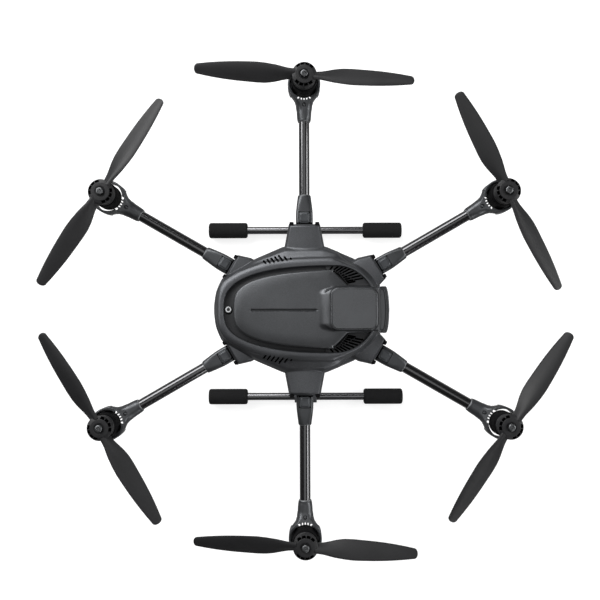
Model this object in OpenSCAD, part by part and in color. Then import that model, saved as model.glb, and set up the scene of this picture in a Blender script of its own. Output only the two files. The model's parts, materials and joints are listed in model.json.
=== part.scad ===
// Hexacopter drone with folding arms, retracting legs and a hanging gimbal camera.
// +X is forward, +Y is the aircraft's left, +Z is up. The origin is on the ground under the centre.

/* [Layout] */
// Distance from the centre to each motor axis (half of the motor-to-motor diagonal)
motor_radius = 240; // [236:1:250]
// Height of the arm tubes' axes above the ground
arm_z = 262; // [258:1:266]
// Height of the top of the propeller nuts above the arm tubes' axes
rotor_stack_h = 48; // [46:1:52]

/* [Body shells] */
// Length of the body behind the centre
body_rear = 95; // [92:0.5:98]
// Length of the body in front of the centre, to the flat nose
body_front = 80; // [78:1:84]
// Half width of the body at its waist, between the side arms' sockets
waist_half_w = 66.5; // [64:0.5:68]
// Half length of the waist's straight edge
waist_half_l = 22; // [19:0.5:24]
// Half width of the raised ring round the top
ring_half_w = 54; // [52:0.5:56]
// Half width of the belly at the bottom of the body
belly_half_w = 42; // [40:0.5:44]
// Wall of the upper and the lower shell
shell_wall = 3; // [2.4:0.1:3.4]
// Depth of the lower shell below the split line
lower_shell_h = 40; // [38:1:42]
// Height from the split line to the top of the raised ring
upper_shell_h = 29; // [27:0.5:31]

/* [Top covers] */
// Half width of the groove that the trim band lies in
groove_half_w = 45.2; // [44:0.2:46.4]
// Depth of the groove below the raised ring
groove_depth = 5; // [4:0.25:6]
// Thickness of the trim band
trim_t = 2.6; // [2:0.1:3.4]
// Half width of the canopy
canopy_half_w = 41.2; // [39.6:0.2:42.2]
// Height of the canopy above the floor of the groove
canopy_h = 14.5; // [13:0.5:16]
// Wall of the canopy
canopy_wall = 2.4; // [2:0.1:3]
// Length of the long slit in the canopy
slit_l = 68; // [50:1:72]
// Width of the long slit in the canopy
slit_w = 2.6; // [1.6:0.1:3.4]
// Length of the satellite antenna's cover
gps_l = 48.5; // [44:0.5:50]
// Width of the satellite antenna's cover
gps_w = 44; // [40:0.5:46]
// Height of the satellite antenna's cover above its seat
gps_h = 13; // [11:0.5:15]
// Number of slots in each front grille
grille_slots = 10; // [7:1:11]
// Number of slots in each rear group
rear_slots = 8; // [5:1:9]
// Diameter of the power button
power_button_d = 7.2; // [6:0.2:8]

/* [Battery] */
// Width of the battery
battery_w = 48; // [44:1:50]
// Length of the battery's block
battery_l = 98; // [88:1:100]
// Room between the battery and its bay
battery_gap = 0.3; // [0.2:0.05:0.5]

/* [Arms] */
// Distance from each socket's open end in to the arm's hinge pin
hinge_inset = 6; // [5:0.25:7]
// Depth of the hinge pins below the arm tubes' axes
hinge_drop = 12; // [11:0.5:13]
// Radius of the hinge pins
pin_r = 2; // [1.6:0.1:2.4]
// Radius of the knuckle round each arm's hinge pin
knuckle_r = 7.5; // [6.5:0.25:8]
// Distance from the centre to the open end of each socket
socket_r = 90; // [89:0.5:91]
// Width of each side arm's socket at its open end
socket_w = 33; // [31:0.5:35]
// Width of the four corner arms' sockets at their open ends
corner_socket_w = 29.4; // [28.6:0.2:31]
// Width of the arm root inside the socket
root_w = 18.4; // [17:0.2:19]
// Width of the arm root at the tube
root_tip_w = 13.8; // [13.4:0.2:15]
// Distance from the centre to the arm root's outer end
root_end_r = 121.6; // [119:0.5:124]
// Radius of the arm tubes
tube_r = 5.7; // [5.2:0.1:6]
// Wall of the arm tubes
tube_wall = 1; // [0.8:0.1:1.4]
// Side of the square release button
button_w = 11.8; // [10:0.2:12.4]
// Travel of the release button
button_travel = 1.5; // [1:0.1:1.8]

/* [Motors and propellers] */
// Distance from the motor axis to the end of the motor mount's neck
neck_l = 39; // [37:0.5:41]
// Outer radius of the motor mount's ring
mount_ring_r = 17.4; // [16.8:0.1:18]
// Outer radius of the motor bell
bell_r = 14; // [13.4:0.1:14.2]
// Height of the motor bell
bell_h = 26; // [24:0.5:27]
// Radius of the motor shaft
shaft_r = 2.5; // [2:0.1:3]
// Propeller radius
prop_r = 113; // [108:0.5:114]
// Widest chord of a propeller blade
prop_chord = 20; // [18:0.2:21]
// Radius of the propeller's cap disc
cap_r = 12.8; // [11.6:0.1:13.4]

/* [Landing gear] */
// Distance of the legs in front of the centre
leg_x = 3; // [0:0.5:5]
// Distance from the centre to each leg's hinge pin
leg_hinge_y = 66; // [65:0.5:68]
// Depth of the legs' hinge pins below the arm tubes' axes
leg_hinge_drop = 29; // [28:0.5:31]
// Radius of the leg struts
strut_r = 6; // [5:0.25:6.5]
// Half of the distance between the two skid tubes
skid_y = 113.4; // [108:0.5:118]
// Radius of the skid tubes
skid_tube_r = 5; // [4:0.25:6]
// Overall length of each skid
skid_l = 263; // [240:1:280]
// Length of each foam grip
grip_l = 52.6; // [40:0.5:60]
// Radius of each foam grip
grip_r = 10.5; // [9:0.25:12]
// Width of the flat under each grip
grip_flat_w = 6.6; // [4:0.2:8]

/* [Gimbal and camera] */
// Distance of the gimbal's yaw axis in front of the centre
gimbal_x = 16; // [10:1:20]
// Depth of the camera's two tilting axes below the arm tubes' axes
camera_drop = 120; // [116:1:124]
// Width of the camera's housing
camera_w = 50; // [46:1:52]
// Radius of the camera's housing
camera_r = 22; // [20:0.5:23]
// Radius of the lens barrel
lens_r = 15; // [12:0.5:16]
// Radius of the gimbal motors
gimbal_motor_r = 14; // [12:0.5:15]

/* [Hidden] */
$fn = 48;

// colours
SHELL = [0.29, 0.3, 0.31];
ROOT_GREY = [0.33, 0.35, 0.37];
DARK = [0.14, 0.14, 0.15];
BLACK = [0.08, 0.08, 0.09];
GLOSS = [0.22, 0.22, 0.24];
STEEL = [0.7, 0.71, 0.72];
BOARD_GREEN = [0.08, 0.25, 0.16];

// clearances
seam = 0.3;        // between neighbouring covers
move_gap = 0.5;    // between pieces that move past each other
fit = 0.05;        // radial clearance of a pin or shaft in its bore
eps = 0.01;        // overrun of a cut

// the arms, counterclockwise from the front left one, and where each propeller has stopped
ARM_ANGLES = [30, 90, 150, 210, 270, 330];
PROP_ANGLES = [116.6, -3.4, 56.9, 122.1, -3.4, 56.9];

// heights that several pieces share
split_z = arm_z - 4;                         // where the two body shells meet
belly_z = split_z - lower_shell_h;
ring_z = split_z + upper_shell_h;
groove_z = ring_z - groove_depth;
deck_t = 2.5;
hinge_r = socket_r - hinge_inset;            // distance from the centre to the arms' hinge pins
hinge_z = arm_z - hinge_drop;
leg_hinge_z = arm_z - leg_hinge_drop;
camera_z = arm_z - camera_drop;
cap_z = arm_z + rotor_stack_h;               // top of the propeller nut
socket_roof_z = arm_z + 10.5;
socket_floor_z = hinge_z - 5;
gps_seat_z = groove_z + 8;

// where the canopy's outline bends in towards its nose, and where the nose starts
canopy_bend_x = body_front * 0.39;
canopy_front_x = body_front * 0.55;

// ---------- outlines and lofts ----------

// closed outline of an egg: superellipse halves that meet at x = xc and widen by taper for each
// unit along X, cut off flat at x = x_max
function egg(xc, rear, front, half_w, taper, n_rear, n_front, x_max, steps = 48) = [
    for (i = [0 : steps - 1])
        let (t = 360 * (i + 0.5) / steps, n = cos(t) > 0 ? n_front : n_rear,
             a = cos(t) > 0 ? front : rear, x = a * sign(cos(t)) * pow(abs(cos(t)), 2 / n))
        [min(xc + x, x_max), (half_w + taper * x) * sign(sin(t)) * pow(abs(sin(t)), 2 / n)]
];

// points mirrored about the X axis to close an outline that starts at the front
function both_sides(half) = concat(half, [for (i = [len(half) - 1 : -1 : 0]) [half[i][0], -half[i][1]]]);

// the body's plan at the split line, drawn in by d
function waist(d = 0) = both_sides([
    [body_front - d, 26 - d], [53 - d, waist_half_w - 13 - d], [waist_half_l - d / 2, waist_half_w - d],
    [-waist_half_l + d / 2, waist_half_w - d], [-52 + d, waist_half_w - 13 - d],
    [-body_rear + 8 + d, 33 - d], [-body_rear + 2.2 + d, 18 - d / 2], [-body_rear + d, 4]
]);

function ring_outline(d = 0) =
    egg(24, body_rear + 20 - d, body_front - 5 - d, ring_half_w - d, 0.02, 3, 1.6, body_front - 2 - d);
function belly_outline(d = 0) =
    egg(5, body_rear - 15 - d, body_front - 18 - d, belly_half_w - d, 0, 2.5, 2.4, body_front - d);
function groove_outline(d = 0) =
    egg(32.5, body_rear + 21.8 - d, body_front - 37.2 - d, groove_half_w - d, 0.013, 2.7, 1.95, body_front);
function canopy_rear(d) =
    egg(body_front * 0.425, body_rear + 12.5 - d, 10, canopy_half_w - d, 0.058, 3.4, 2, body_front, 64);
function canopy_outline(d = 0) = concat(
    [for (p = canopy_rear(d)) if (p[1] > 0 && p[0] < canopy_bend_x - 6) p],
    [for (p = canopy_rear(d)) if (p[1] < 0 && p[0] < canopy_bend_x - 6) p],
    [[canopy_bend_x - d / 2, -canopy_half_w * 0.903 + d], [canopy_front_x - d, -nose_half_w - 0.8 + d],
     [canopy_front_x - d, nose_half_w + 0.8 - d], [canopy_bend_x - d / 2, canopy_half_w * 0.903 - d]]
);

// outline of a socket seen from above in the arm's own frame, drawn in by d
function socket_outline(w, d = 0) = [
    [50, -23 + d], [socket_r - 25, -w / 2 - 5 + d], [socket_r - d / 2, -w / 2 + d],
    [socket_r - d / 2, w / 2 - d], [socket_r - 25, w / 2 + 5 - d], [50, 23 - d]
];

// solid between rings of equally many points, each ring at its own height
module loft(rings, heights) {
    n = len(rings[0]);
    last = len(rings) - 1;
    polyhedron(
        points = [for (k = [0 : last]) for (p = rings[k]) [p[0], p[1], heights[k]]],
        faces = concat(
            [[for (i = [0 : n - 1]) i]],
            [[for (i = [n - 1 : -1 : 0]) last * n + i]],
            [for (k = [0 : last - 1]) for (i = [0 : n - 1]) let (j = (i + 1) % n)
                [k * n + i, (k + 1) * n + i, (k + 1) * n + j, k * n + j]]
        )
    );
}

module box(x, y, z) {
    translate([x[0], y[0], z[0]]) cube([x[1] - x[0], y[1] - y[0], z[1] - z[0]]);
}

// upright block with round vertical edges
module rounded_block(x, y, z, r) {
    translate([0, 0, z[0]]) linear_extrude(z[1] - z[0]) {
        translate([x[0] + r, y[0]]) square([x[1] - x[0] - 2 * r, y[1] - y[0]]);
        translate([x[0], y[0] + r]) square([x[1] - x[0], y[1] - y[0] - 2 * r]);
        for (cx = [x[0] + r, x[1] - r], cy = [y[0] + r, y[1] - r]) translate([cx, cy]) circle(r);
    }
}

module cyl_x(r, x) { translate([x[0], 0, 0]) rotate([0, 90, 0]) cylinder(r = r, h = x[1] - x[0]); }
module cyl_y(r, y) { translate([0, y[1], 0]) rotate([90, 0, 0]) cylinder(r = r, h = y[1] - y[0]); }

// width of the socket at an arm's angle
function width_at(a) = a % 180 == 90 ? socket_w : corner_socket_w;

// every arm's own frame: X runs out along the arm, and $width is the width of its socket
module each_arm() {
    for (a = ARM_ANGLES) rotate([0, 0, a]) {
        $width = width_at(a);
        children();
    }
}

// ---------- body shells ----------

module lower_form(d = 0) {
    hull() {
        translate([0, 0, arm_z - 16])
            linear_extrude(split_z - seam - arm_z + 16 + (d > 0 ? 1 : 0)) polygon(waist(d));
        translate([0, 0, belly_z + d]) linear_extrude(1) polygon(belly_outline(d));
    }
}

module upper_form() {
    hull() {
        translate([0, 0, split_z]) linear_extrude(2) polygon(waist());
        translate([0, 0, split_z + 12]) linear_extrude(2) polygon(waist(1.8));
        translate([0, 0, ring_z - 1]) linear_extrude(1) polygon(ring_outline());
    }
}

// the room in a socket for the arm root, the knuckle and their swing
module socket_slot() {
    box([hinge_r - knuckle_r - 2.5, socket_r + 20], [-root_w / 2 - move_gap, root_w / 2 + move_gap],
        [belly_z, socket_roof_z]);
}

leg_cheek_t = 5;
leg_block_w = 16;
leg_knuckle_r = 7;

// a pair of cheeks on each side that hold a leg's hinge pin
module leg_cheeks() {
    for (s = [-1, 1], side = [-1, 1])
        translate([leg_x + s * (leg_block_w / 2 + seam + leg_cheek_t / 2) - leg_cheek_t / 2, 0, 0]) {
            translate([0, side * leg_hinge_y, leg_hinge_z]) cyl_x(leg_knuckle_r, [0, leg_cheek_t]);
            mirror([0, side < 0 ? 1 : 0, 0])
                box([0, leg_cheek_t], [leg_hinge_y - 14, leg_hinge_y],
                    [leg_hinge_z - leg_knuckle_r, leg_hinge_z + leg_knuckle_r + 4]);
        }
}

module bay_cut() {
    box([-body_rear - 10, battery_front_x + battery_gap],
        [-battery_w / 2 - battery_gap, battery_w / 2 + battery_gap], [bay_floor_z, split_z + 10]);
}

battery_front_x = battery_l - body_rear + 8;
bay_floor_z = belly_z + 4.4;
rail_t = 2;
screw_r = 2.6;

// one screw on each side of an arm's slot; the frame starts at the belly's height
module screw_places() {
    for (s = [-1, 1]) translate([socket_r - 5, s * ($width / 2 - 2.4), belly_z]) children();
}

module lower_shell() {
    color(SHELL)
    difference() {
        union() {
            difference() {
                lower_form();
                lower_form(shell_wall);
            }
            // floor and side rails that carry the battery
            intersection() {
                lower_form();
                union() {
                    box([-body_rear, battery_front_x + 6], [-belly_half_w, belly_half_w], [belly_z, bay_floor_z]);
                    for (s = [-1, 1]) translate([0, s * (battery_w / 2 + battery_gap + rail_t / 2), 0])
                        box([-body_rear + 14, battery_front_x], [-rail_t / 2, rail_t / 2],
                            [belly_z, bay_floor_z + 12]);
                }
            }
            each_arm() {
                loft([socket_outline($width, 2.5), socket_outline($width), socket_outline($width)],
                     [socket_floor_z, socket_floor_z + 4, split_z - seam]);
                for (s = [-1, 1]) translate([0, s * ($width / 2 - 2), 0])
                    rounded_block([socket_r - 6, socket_r + 2.8], [-2.3, 2.3],
                                  [socket_floor_z + 2, split_z - seam], 2);
            }
            leg_cheeks();
        }
        each_arm() {
            socket_slot();
            translate([hinge_r, 0, hinge_z]) cyl_y(pin_r + fit, [-$width / 2 - 8, $width / 2 + 8]);
            screw_places() cylinder(r = screw_r + seam, h = socket_floor_z - belly_z);
        }
        for (s = [-1, 1]) translate([leg_x, s * leg_hinge_y, leg_hinge_z])
            cyl_x(pin_r + fit, [-leg_block_w, leg_block_w]);
        // the sockets' inner ends stop at the shell's wall, and the battery comes in from behind
        intersection() {
            lower_form(shell_wall);
            box([-body_rear, body_front], [-waist_half_w, waist_half_w], [bay_floor_z + 12 + eps, split_z]);
        }
        bay_cut();
    }
}

module upper_shell() {
    color(SHELL)
    difference() {
        union() {
            upper_form();
            each_arm()
                loft([socket_outline($width), socket_outline($width), socket_outline($width, 2.6)],
                     [split_z, arm_z + 11, arm_z + 15.2]);
        }
        each_arm() socket_slot();
        // room for the electronics
        translate([0, 0, split_z - eps])
            linear_extrude(groove_z - deck_t - split_z + eps) polygon(ring_outline(shell_wall + 1.5));
        // groove and seat of the covers
        translate([0, 0, groove_z]) linear_extrude(groove_depth + 1) polygon(groove_outline());
        // opening under the canopy
        rounded_block([-46, 16], [-18, 18], [groove_z - deck_t - 1, groove_z + 1], 4);
        translate([power_x, 0, groove_z - deck_t - 1]) cylinder(r = power_button_d / 2 + seam, h = deck_t + 2);
        rear_slot_cuts();
    }
}

// slanted slots between the ring and the side sockets, shorter towards the front
module rear_slot_cuts() {
    for (side = [-1, 1], i = [0 : rear_slots - 1])
        translate([-43 + i * 4.1, side * (ring_half_w - 2.4 + i * 0.5), split_z + 12])
            rotate([0, 0, side * 28])
                box([-0.9, 0.9], [-4.6 + i * 0.42, 4.6 - i * 0.42], [0, 30]);
}

// ---------- covers on top ----------

power_x = -body_rear * 0.834;

module trim_band() {
    color(DARK)
    translate([0, 0, groove_z])
    difference() {
        linear_extrude(trim_t) polygon(groove_outline(seam));
        translate([0, 0, -1]) linear_extrude(trim_t + 2) polygon(canopy_outline(-seam));
        box([canopy_bend_x - 1, body_front], [-groove_half_w, groove_half_w], [-1, trim_t + 1]);
        translate([power_x, 0, -1]) cylinder(r = power_button_d / 2 + seam, h = trim_t + 2);
    }
}

nose_half_w = canopy_half_w * 0.583;
nose_x = body_front - 4;

module canopy() {
    color(SHELL)
    difference() {
        union() {
            loft([canopy_outline(), canopy_outline(0.5), canopy_outline(2.4), canopy_outline(6.5)],
                 [groove_z, groove_z + canopy_h - 6, groove_z + canopy_h - 2, groove_z + canopy_h]);
            translate([0, 0, groove_z]) linear_extrude(gps_seat_z - groove_z) intersection() {
                translate([canopy_bend_x, -nose_half_w]) square([nose_x - canopy_bend_x, 2 * nose_half_w]);
                polygon(groove_outline(seam));
            }
        }
        // seat of the antenna cover
        box([gps_x0 - seam, body_front], [-gps_w / 2 - seam, gps_w / 2 + seam], [gps_seat_z, groove_z + 40]);
        // hollow underside
        intersection() {
            translate([0, 0, groove_z - eps])
                linear_extrude(canopy_h - canopy_wall) polygon(canopy_outline(canopy_wall + 4.2));
            box([-body_rear, gps_x0 - 3], [-60, 60], [groove_z - 1, groove_z + canopy_h]);
        }
        box([gps_x0 - 4, nose_x - canopy_wall], [-nose_half_w + canopy_wall, nose_half_w - canopy_wall],
            [groove_z - eps, gps_seat_z - canopy_wall]);
        // long slit
        rounded_block([slit_x0, slit_x0 + slit_l], [-slit_w / 2, slit_w / 2],
                      [groove_z + canopy_h - 1.2, groove_z + canopy_h + 1], slit_w / 2 - eps);
    }
}

slit_x0 = -56;
gps_x0 = nose_x - 1.5 - gps_l;
gps_wall = 2;

module gps_cover() {
    color(SHELL)
    difference() {
        union() {
            rounded_block([gps_x0, gps_x0 + gps_l], [-gps_w / 2, gps_w / 2],
                          [gps_seat_z, gps_seat_z + gps_h - 1.5], 6);
            rounded_block([gps_x0 + 1.5, gps_x0 + gps_l - 1.5], [-gps_w / 2 + 1.5, gps_w / 2 - 1.5],
                          [gps_seat_z, gps_seat_z + gps_h], 5);
        }
        rounded_block([gps_x0 + 1.5 + gps_wall, gps_x0 + gps_l - 1.5 - gps_wall],
                      [-gps_w / 2 + 1.5 + gps_wall, gps_w / 2 - 1.5 - gps_wall],
                      [gps_seat_z - 1, gps_seat_z + gps_h - gps_wall], 3);
    }
    // ramp that rises from the canopy to the cover
    color(SHELL)
    translate([0, gps_w / 2 - 3, 0]) rotate([90, 0, 0]) linear_extrude(gps_w - 6) polygon([
        [gps_x0 - 8.5, groove_z + canopy_h], [gps_x0 - seam, groove_z + canopy_h],
        [gps_x0 - seam, gps_seat_z + gps_h - 2.5], [gps_x0 - 2, gps_seat_z + gps_h - 3]
    ]);
}

// louvred panels in the corners in front of the canopy
module vent_grilles() {
    panel_t = groove_depth - 0.5;
    color(DARK)
    for (side = [-1, 1]) mirror([0, side < 0 ? 1 : 0, 0])
        difference() {
            translate([0, 0, groove_z]) linear_extrude(panel_t)
                intersection() {
                    polygon(groove_outline(seam));
                    polygon([[canopy_bend_x + 0.4, groove_half_w + 5], [canopy_bend_x + 0.4, canopy_half_w * 0.917],
                             [canopy_front_x + 1, nose_half_w + 1.2], [canopy_front_x + 1, nose_half_w + seam],
                             [nose_x, nose_half_w + seam], [nose_x, groove_half_w + 5]]);
                }
            for (i = [0 : grille_slots - 1])
                translate([canopy_bend_x + 6 + i * 2.75, nose_half_w + 11.5 - i * 0.9, groove_z + 1])
                    rotate([0, 0, 62]) box([-7.6 + i * 0.28, 6.6 - i * 0.45], [-0.7, 0.7], [0, panel_t]);
        }
}

module power_button() {
    color(BLACK)
    translate([power_x, 0, 0]) {
        translate([0, 0, groove_z - deck_t]) cylinder(r = power_button_d / 2, h = deck_t + trim_t + 0.5);
        translate([0, 0, groove_z + trim_t - 0.2]) cylinder(r = power_button_d / 2 - 1, h = 1.1);
    }
}

// distance sensor in the nose: a stack of three plates and two round sensor cups
module sonar_module() {
    sonar_h = 26;
    z0 = split_z - sonar_h + 6;
    color(DARK)
    difference() {
        union() {
            rounded_block([body_front + seam, body_front + 6], [-25, 25], [z0, z0 + sonar_h], 2.5);
            rounded_block([body_front + 4, body_front + 9], [-23.8, 23.8], [z0 + 2, z0 + sonar_h - 3], 2.4);
            rounded_block([body_front + 6, body_front + 10], [-22.5, 22.5], [z0 + 4, z0 + sonar_h - 6], 2.4);
        }
        for (s = [-1, 1]) translate([0, s * 11, z0 + sonar_h / 2 - 1])
            cyl_x(7.2, [body_front + 6, body_front + 14]);
    }
    color(STEEL)
    for (s = [-1, 1]) translate([0, s * 11, z0 + sonar_h / 2 - 1])
        cyl_x(6.9, [body_front + 6, body_front + 9.5]);
}

// ---------- inside the body ----------

module circuit_boards() {
    post_h = upper_shell_h * 0.28;
    board_z = groove_z - deck_t - post_h;
    board_x = [-body_rear * 0.61, body_front * 0.33];
    board_y = belly_half_w * 0.66;
    color(BOARD_GREEN) {
        // flight controller, hung from the deck by four posts
        box(board_x, [-board_y, board_y], [board_z - 1.6, board_z]);
        for (x = board_x, y = [-1, 1])
            translate([x - sign(x) * 6, y * (board_y - 6), board_z]) cylinder(r = 2.5, h = post_h);
        // satellite antenna board on the canopy's nose
        translate([gps_x0 + gps_l / 2, 0, gps_seat_z]) {
            box([-17, 17], [-15, 15], [2, 3.6]);
            for (x = [-13, 13], y = [-12, 12]) translate([x, y, 0]) cylinder(r = 2, h = 2);
        }
    }
    color(BLACK) {
        box([-body_rear * 0.42, -body_rear * 0.21], [-board_y * 0.36, board_y * 0.36], [board_z, board_z + 4]);
        box([-body_rear * 0.1, body_front * 0.1], [-board_y * 0.3, board_y * 0.3], [board_z, board_z + 3]);
        for (k = [0 : 5]) translate([-body_rear * 0.52 + k * body_rear * 0.125, board_y * 0.65, board_z - 5.6])
            cylinder(r = 2.6, h = 4);
        // battery connector in front of the battery
        box([battery_front_x + 1, battery_front_x + 6], [-14, 14], [bay_floor_z, bay_floor_z + 12]);
    }
    color(STEEL)
    translate([gps_x0 + gps_l / 2, 0, gps_seat_z + 3.6]) box([-12, 12], [-12, 12], [0, 4]);
}

// gear motors that swing the legs
module gear_servos() {
    color(BLACK)
    for (side = [-1, 1]) mirror([0, side < 0 ? 1 : 0, 0]) {
        servo_y = battery_w / 2 + battery_gap + rail_t + seam;
        servo_l = belly_half_w * 0.7;
        box([leg_x - servo_l / 2, leg_x + servo_l / 2], [servo_y, belly_half_w - shell_wall - 1],
            [bay_floor_z, bay_floor_z + lower_shell_h * 0.65]);
        translate([leg_x, 0, leg_hinge_z]) cyl_y(3, [belly_half_w - shell_wall - 1 - eps, belly_half_w + 4]);
    }
}

mount_plate_t = 3;
damper_h = 9;
mount_l = 64;
mount_w = 52;
yaw_stator_h = 12;

hung_plate_z = belly_z - 2 * mount_plate_t - damper_h;
yaw_axis_top_z = hung_plate_z - yaw_stator_h;

module camera_mount() {
    color(DARK) {
        rounded_block([gimbal_x - mount_l / 2, gimbal_x + mount_l / 2], [-mount_w / 2, mount_w / 2],
                      [belly_z - mount_plate_t, belly_z], 5);
        difference() {
            union() {
                rounded_block([gimbal_x - mount_l / 2, gimbal_x + mount_l / 2], [-mount_w / 2, mount_w / 2],
                              [hung_plate_z, hung_plate_z + mount_plate_t], 5);
                translate([gimbal_x, 0, yaw_axis_top_z]) cylinder(r = gimbal_motor_r + 2, h = yaw_stator_h + 1);
            }
            translate([gimbal_x, 0, yaw_axis_top_z - 1]) cylinder(r = shaft_r + fit, h = yaw_stator_h + 10);
        }
    }
}

module dampers() {
    color(BLACK)
    for (x = [-1, 1], y = [-1, 1])
        translate([gimbal_x + x * (mount_l / 2 - 9), y * (mount_w / 2 - 9), hung_plate_z + mount_plate_t])
            rotate_extrude() polygon([
                [0, 0], [4, 0], [6.5, damper_h * 0.3], [6.5, damper_h * 0.7], [4, damper_h], [0, damper_h]]);
}

// screws under the sockets
module fasteners() {
    color(STEEL)
    each_arm() screw_places() translate([0, 0, socket_floor_z - belly_z - 1.3])
        difference() {
            cylinder(r = screw_r, h = 1.3);
            translate([0, 0, -eps]) cylinder(r = 1.3, h = 0.8, $fn = 6);
        }
}

module hinge_pins() {
    color(STEEL) {
        each_arm() translate([hinge_r, 0, hinge_z]) cyl_y(pin_r, [-$width / 2 - 0.4, $width / 2 + 0.4]);
        for (s = [-1, 1]) translate([leg_x, s * leg_hinge_y, leg_hinge_z])
            cyl_x(pin_r, [-leg_block_w / 2 - leg_cheek_t - 1, leg_block_w / 2 + leg_cheek_t + 1]);
    }
}

module battery() {
    top_z = split_z - 0.6;
    color(DARK) {
        difference() {
            union() {
                box([-body_rear + 8, battery_front_x], [-battery_w / 2, battery_w / 2],
                    [bay_floor_z + battery_gap, top_z - 3]);
                intersection() {
                    lower_form();
                    box([-body_rear - 1, -body_rear + 14], [-battery_w / 2, battery_w / 2],
                        [bay_floor_z + battery_gap, top_z]);
                }
            }
            // finger grip in the rear face
            translate([-body_rear, 0, arm_z - 18]) cyl_y(5, [-12, 12]);
        }
    }
}

// ---------- landing gear ----------

skid_z = sqrt(grip_r * grip_r - grip_flat_w * grip_flat_w / 4);
leg_angle = atan2(skid_y - leg_hinge_y, leg_hinge_z - skid_z);
leg_l = norm([skid_y - leg_hinge_y, leg_hinge_z - skid_z]);
collar_l = 30;
grip_wall_end = 3;

module leg_strut(side) {
    color(DARK)
    translate([leg_x, side * leg_hinge_y, leg_hinge_z])
    difference() {
        union() {
            cyl_x(leg_knuckle_r, [-leg_block_w / 2, leg_block_w / 2]);
            rotate([side * leg_angle, 0, 0]) {
                translate([0, 0, -leg_l]) cylinder(r = strut_r, h = leg_l);
                translate([0, 0, -26]) cylinder(r = strut_r + 1.2, h = 26);
                translate([0, 0, -leg_l]) cylinder(r1 = strut_r + 2, r2 = strut_r, h = 24);
                translate([0, 0, -leg_l]) cyl_x(skid_tube_r + 3.4, [-collar_l / 2, collar_l / 2]);
            }
        }
        cyl_x(pin_r + fit, [-leg_block_w, leg_block_w]);
        rotate([side * leg_angle, 0, 0]) translate([0, 0, -leg_l]) cyl_x(skid_tube_r + fit, [-collar_l, collar_l]);
    }
}
module leg_strut_left() { leg_strut(1); }
module leg_strut_right() { leg_strut(-1); }

module skid_tube(side) {
    color(GLOSS)
    translate([leg_x, side * skid_y, skid_z]) difference() {
        cyl_x(skid_tube_r, [-skid_l / 2 + grip_wall_end, skid_l / 2 - grip_wall_end]);
        cyl_x(skid_tube_r - tube_wall, [-skid_l, skid_l]);
    }
}
module skid_tube_left() { skid_tube(1); }
module skid_tube_right() { skid_tube(-1); }

// foam sleeves with rounded ends and a small flat to stand on
module skid_grips(side) {
    edge = 2.5;
    color(BLACK)
    translate([leg_x, side * skid_y, skid_z]) for (s = [-1, 1])
        rotate([0, 0, s > 0 ? 0 : 180]) difference() {
            translate([skid_l / 2 - grip_l, 0, 0]) rotate([0, 90, 0]) rotate_extrude() {
                square([grip_r - edge, grip_l]);
                translate([0, edge]) square([grip_r, grip_l - 2 * edge]);
                for (x = [edge, grip_l - edge]) translate([grip_r - edge, x]) circle(edge, $fn = 24);
            }
            cyl_x(skid_tube_r + fit, [skid_l / 2 - grip_l - 1, skid_l / 2 - grip_wall_end + fit]);
            box([skid_l / 2 - grip_l - 1, skid_l / 2 + 1], [-grip_r, grip_r], [-grip_r - 1, -skid_z]);
        }
}
module skid_grips_left() { skid_grips(1); }
module skid_grips_right() { skid_grips(-1); }

// ---------- gimbal and camera ----------

yaw_bell_h = 9;
yaw_bell_z = yaw_axis_top_z - move_gap - yaw_bell_h;
roll_motor_x = gimbal_x - camera_r - 27;
roll_arm_gap = 3.5;
tilt_y = camera_w / 2 + move_gap;

module gimbal_yaw_arm() {
    color(GLOSS) {
        translate([gimbal_x, 0, yaw_bell_z]) {
            cylinder(r = gimbal_motor_r + 2, h = yaw_bell_h);
            cylinder(r = shaft_r, h = yaw_bell_h + yaw_stator_h);
        }
        // arm down to the roll motor behind the camera
        difference() {
            union() {
                rounded_block([roll_motor_x, gimbal_x], [-8, 8], [yaw_bell_z, yaw_bell_z + 6], 3);
                rounded_block([roll_motor_x, roll_motor_x + 7], [-8, 8], [camera_z, yaw_bell_z + 6], 2.5);
                translate([0, 0, camera_z]) cyl_x(gimbal_motor_r, [roll_motor_x, roll_motor_x + 10]);
            }
            translate([0, 0, camera_z]) cyl_x(shaft_r + fit, [roll_motor_x + 2, roll_motor_x + 12]);
        }
    }
}

roll_bell_x = roll_motor_x + 10 + move_gap;

module gimbal_roll_arm() {
    color(GLOSS)
    difference() {
        union() {
            translate([0, 0, camera_z]) {
                cyl_x(gimbal_motor_r, [roll_bell_x, roll_bell_x + 7]);
                cyl_x(shaft_r, [roll_motor_x + 3, roll_bell_x + 1]);
            }
            // arm to one side, then forward to the tilt motor
            translate([0, 0, camera_z - 7]) {
                rounded_block([roll_bell_x, roll_bell_x + 7], [0, tilt_y + 12], [0, 14], 2.5);
                rounded_block([roll_bell_x, gimbal_x], [tilt_y + 5, tilt_y + 12], [0, 14], 2.5);
            }
            translate([gimbal_x, 0, camera_z]) cyl_y(gimbal_motor_r, [tilt_y, tilt_y + 12]);
        }
        translate([gimbal_x, 0, camera_z]) cyl_y(shaft_r + fit, [tilt_y - 1, tilt_y + 9]);
    }
}

module camera() {
    color(BLACK)
    translate([gimbal_x, 0, camera_z])
    difference() {
        union() {
            cyl_y(camera_r, [-camera_w / 2, camera_w / 2]);
            cyl_y(shaft_r, [0, tilt_y + 8]);
            cyl_x(lens_r + 3, [0, camera_r + 4]);
            cyl_x(lens_r, [0, camera_r + 9]);
        }
        cyl_x(lens_r - 2.5, [camera_r + 5, camera_r + 12]);
    }
    color(GLOSS)
    translate([gimbal_x, 0, camera_z]) cyl_x(lens_r - 2.5 - fit, [camera_r + 5, camera_r + 6.5]);
}

// ---------- arms ----------

button_r = socket_r + 1.6 + button_w / 2;
button_h = 4;
root_top_z = arm_z + 9.3;
button_proud = 0.5;

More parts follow.
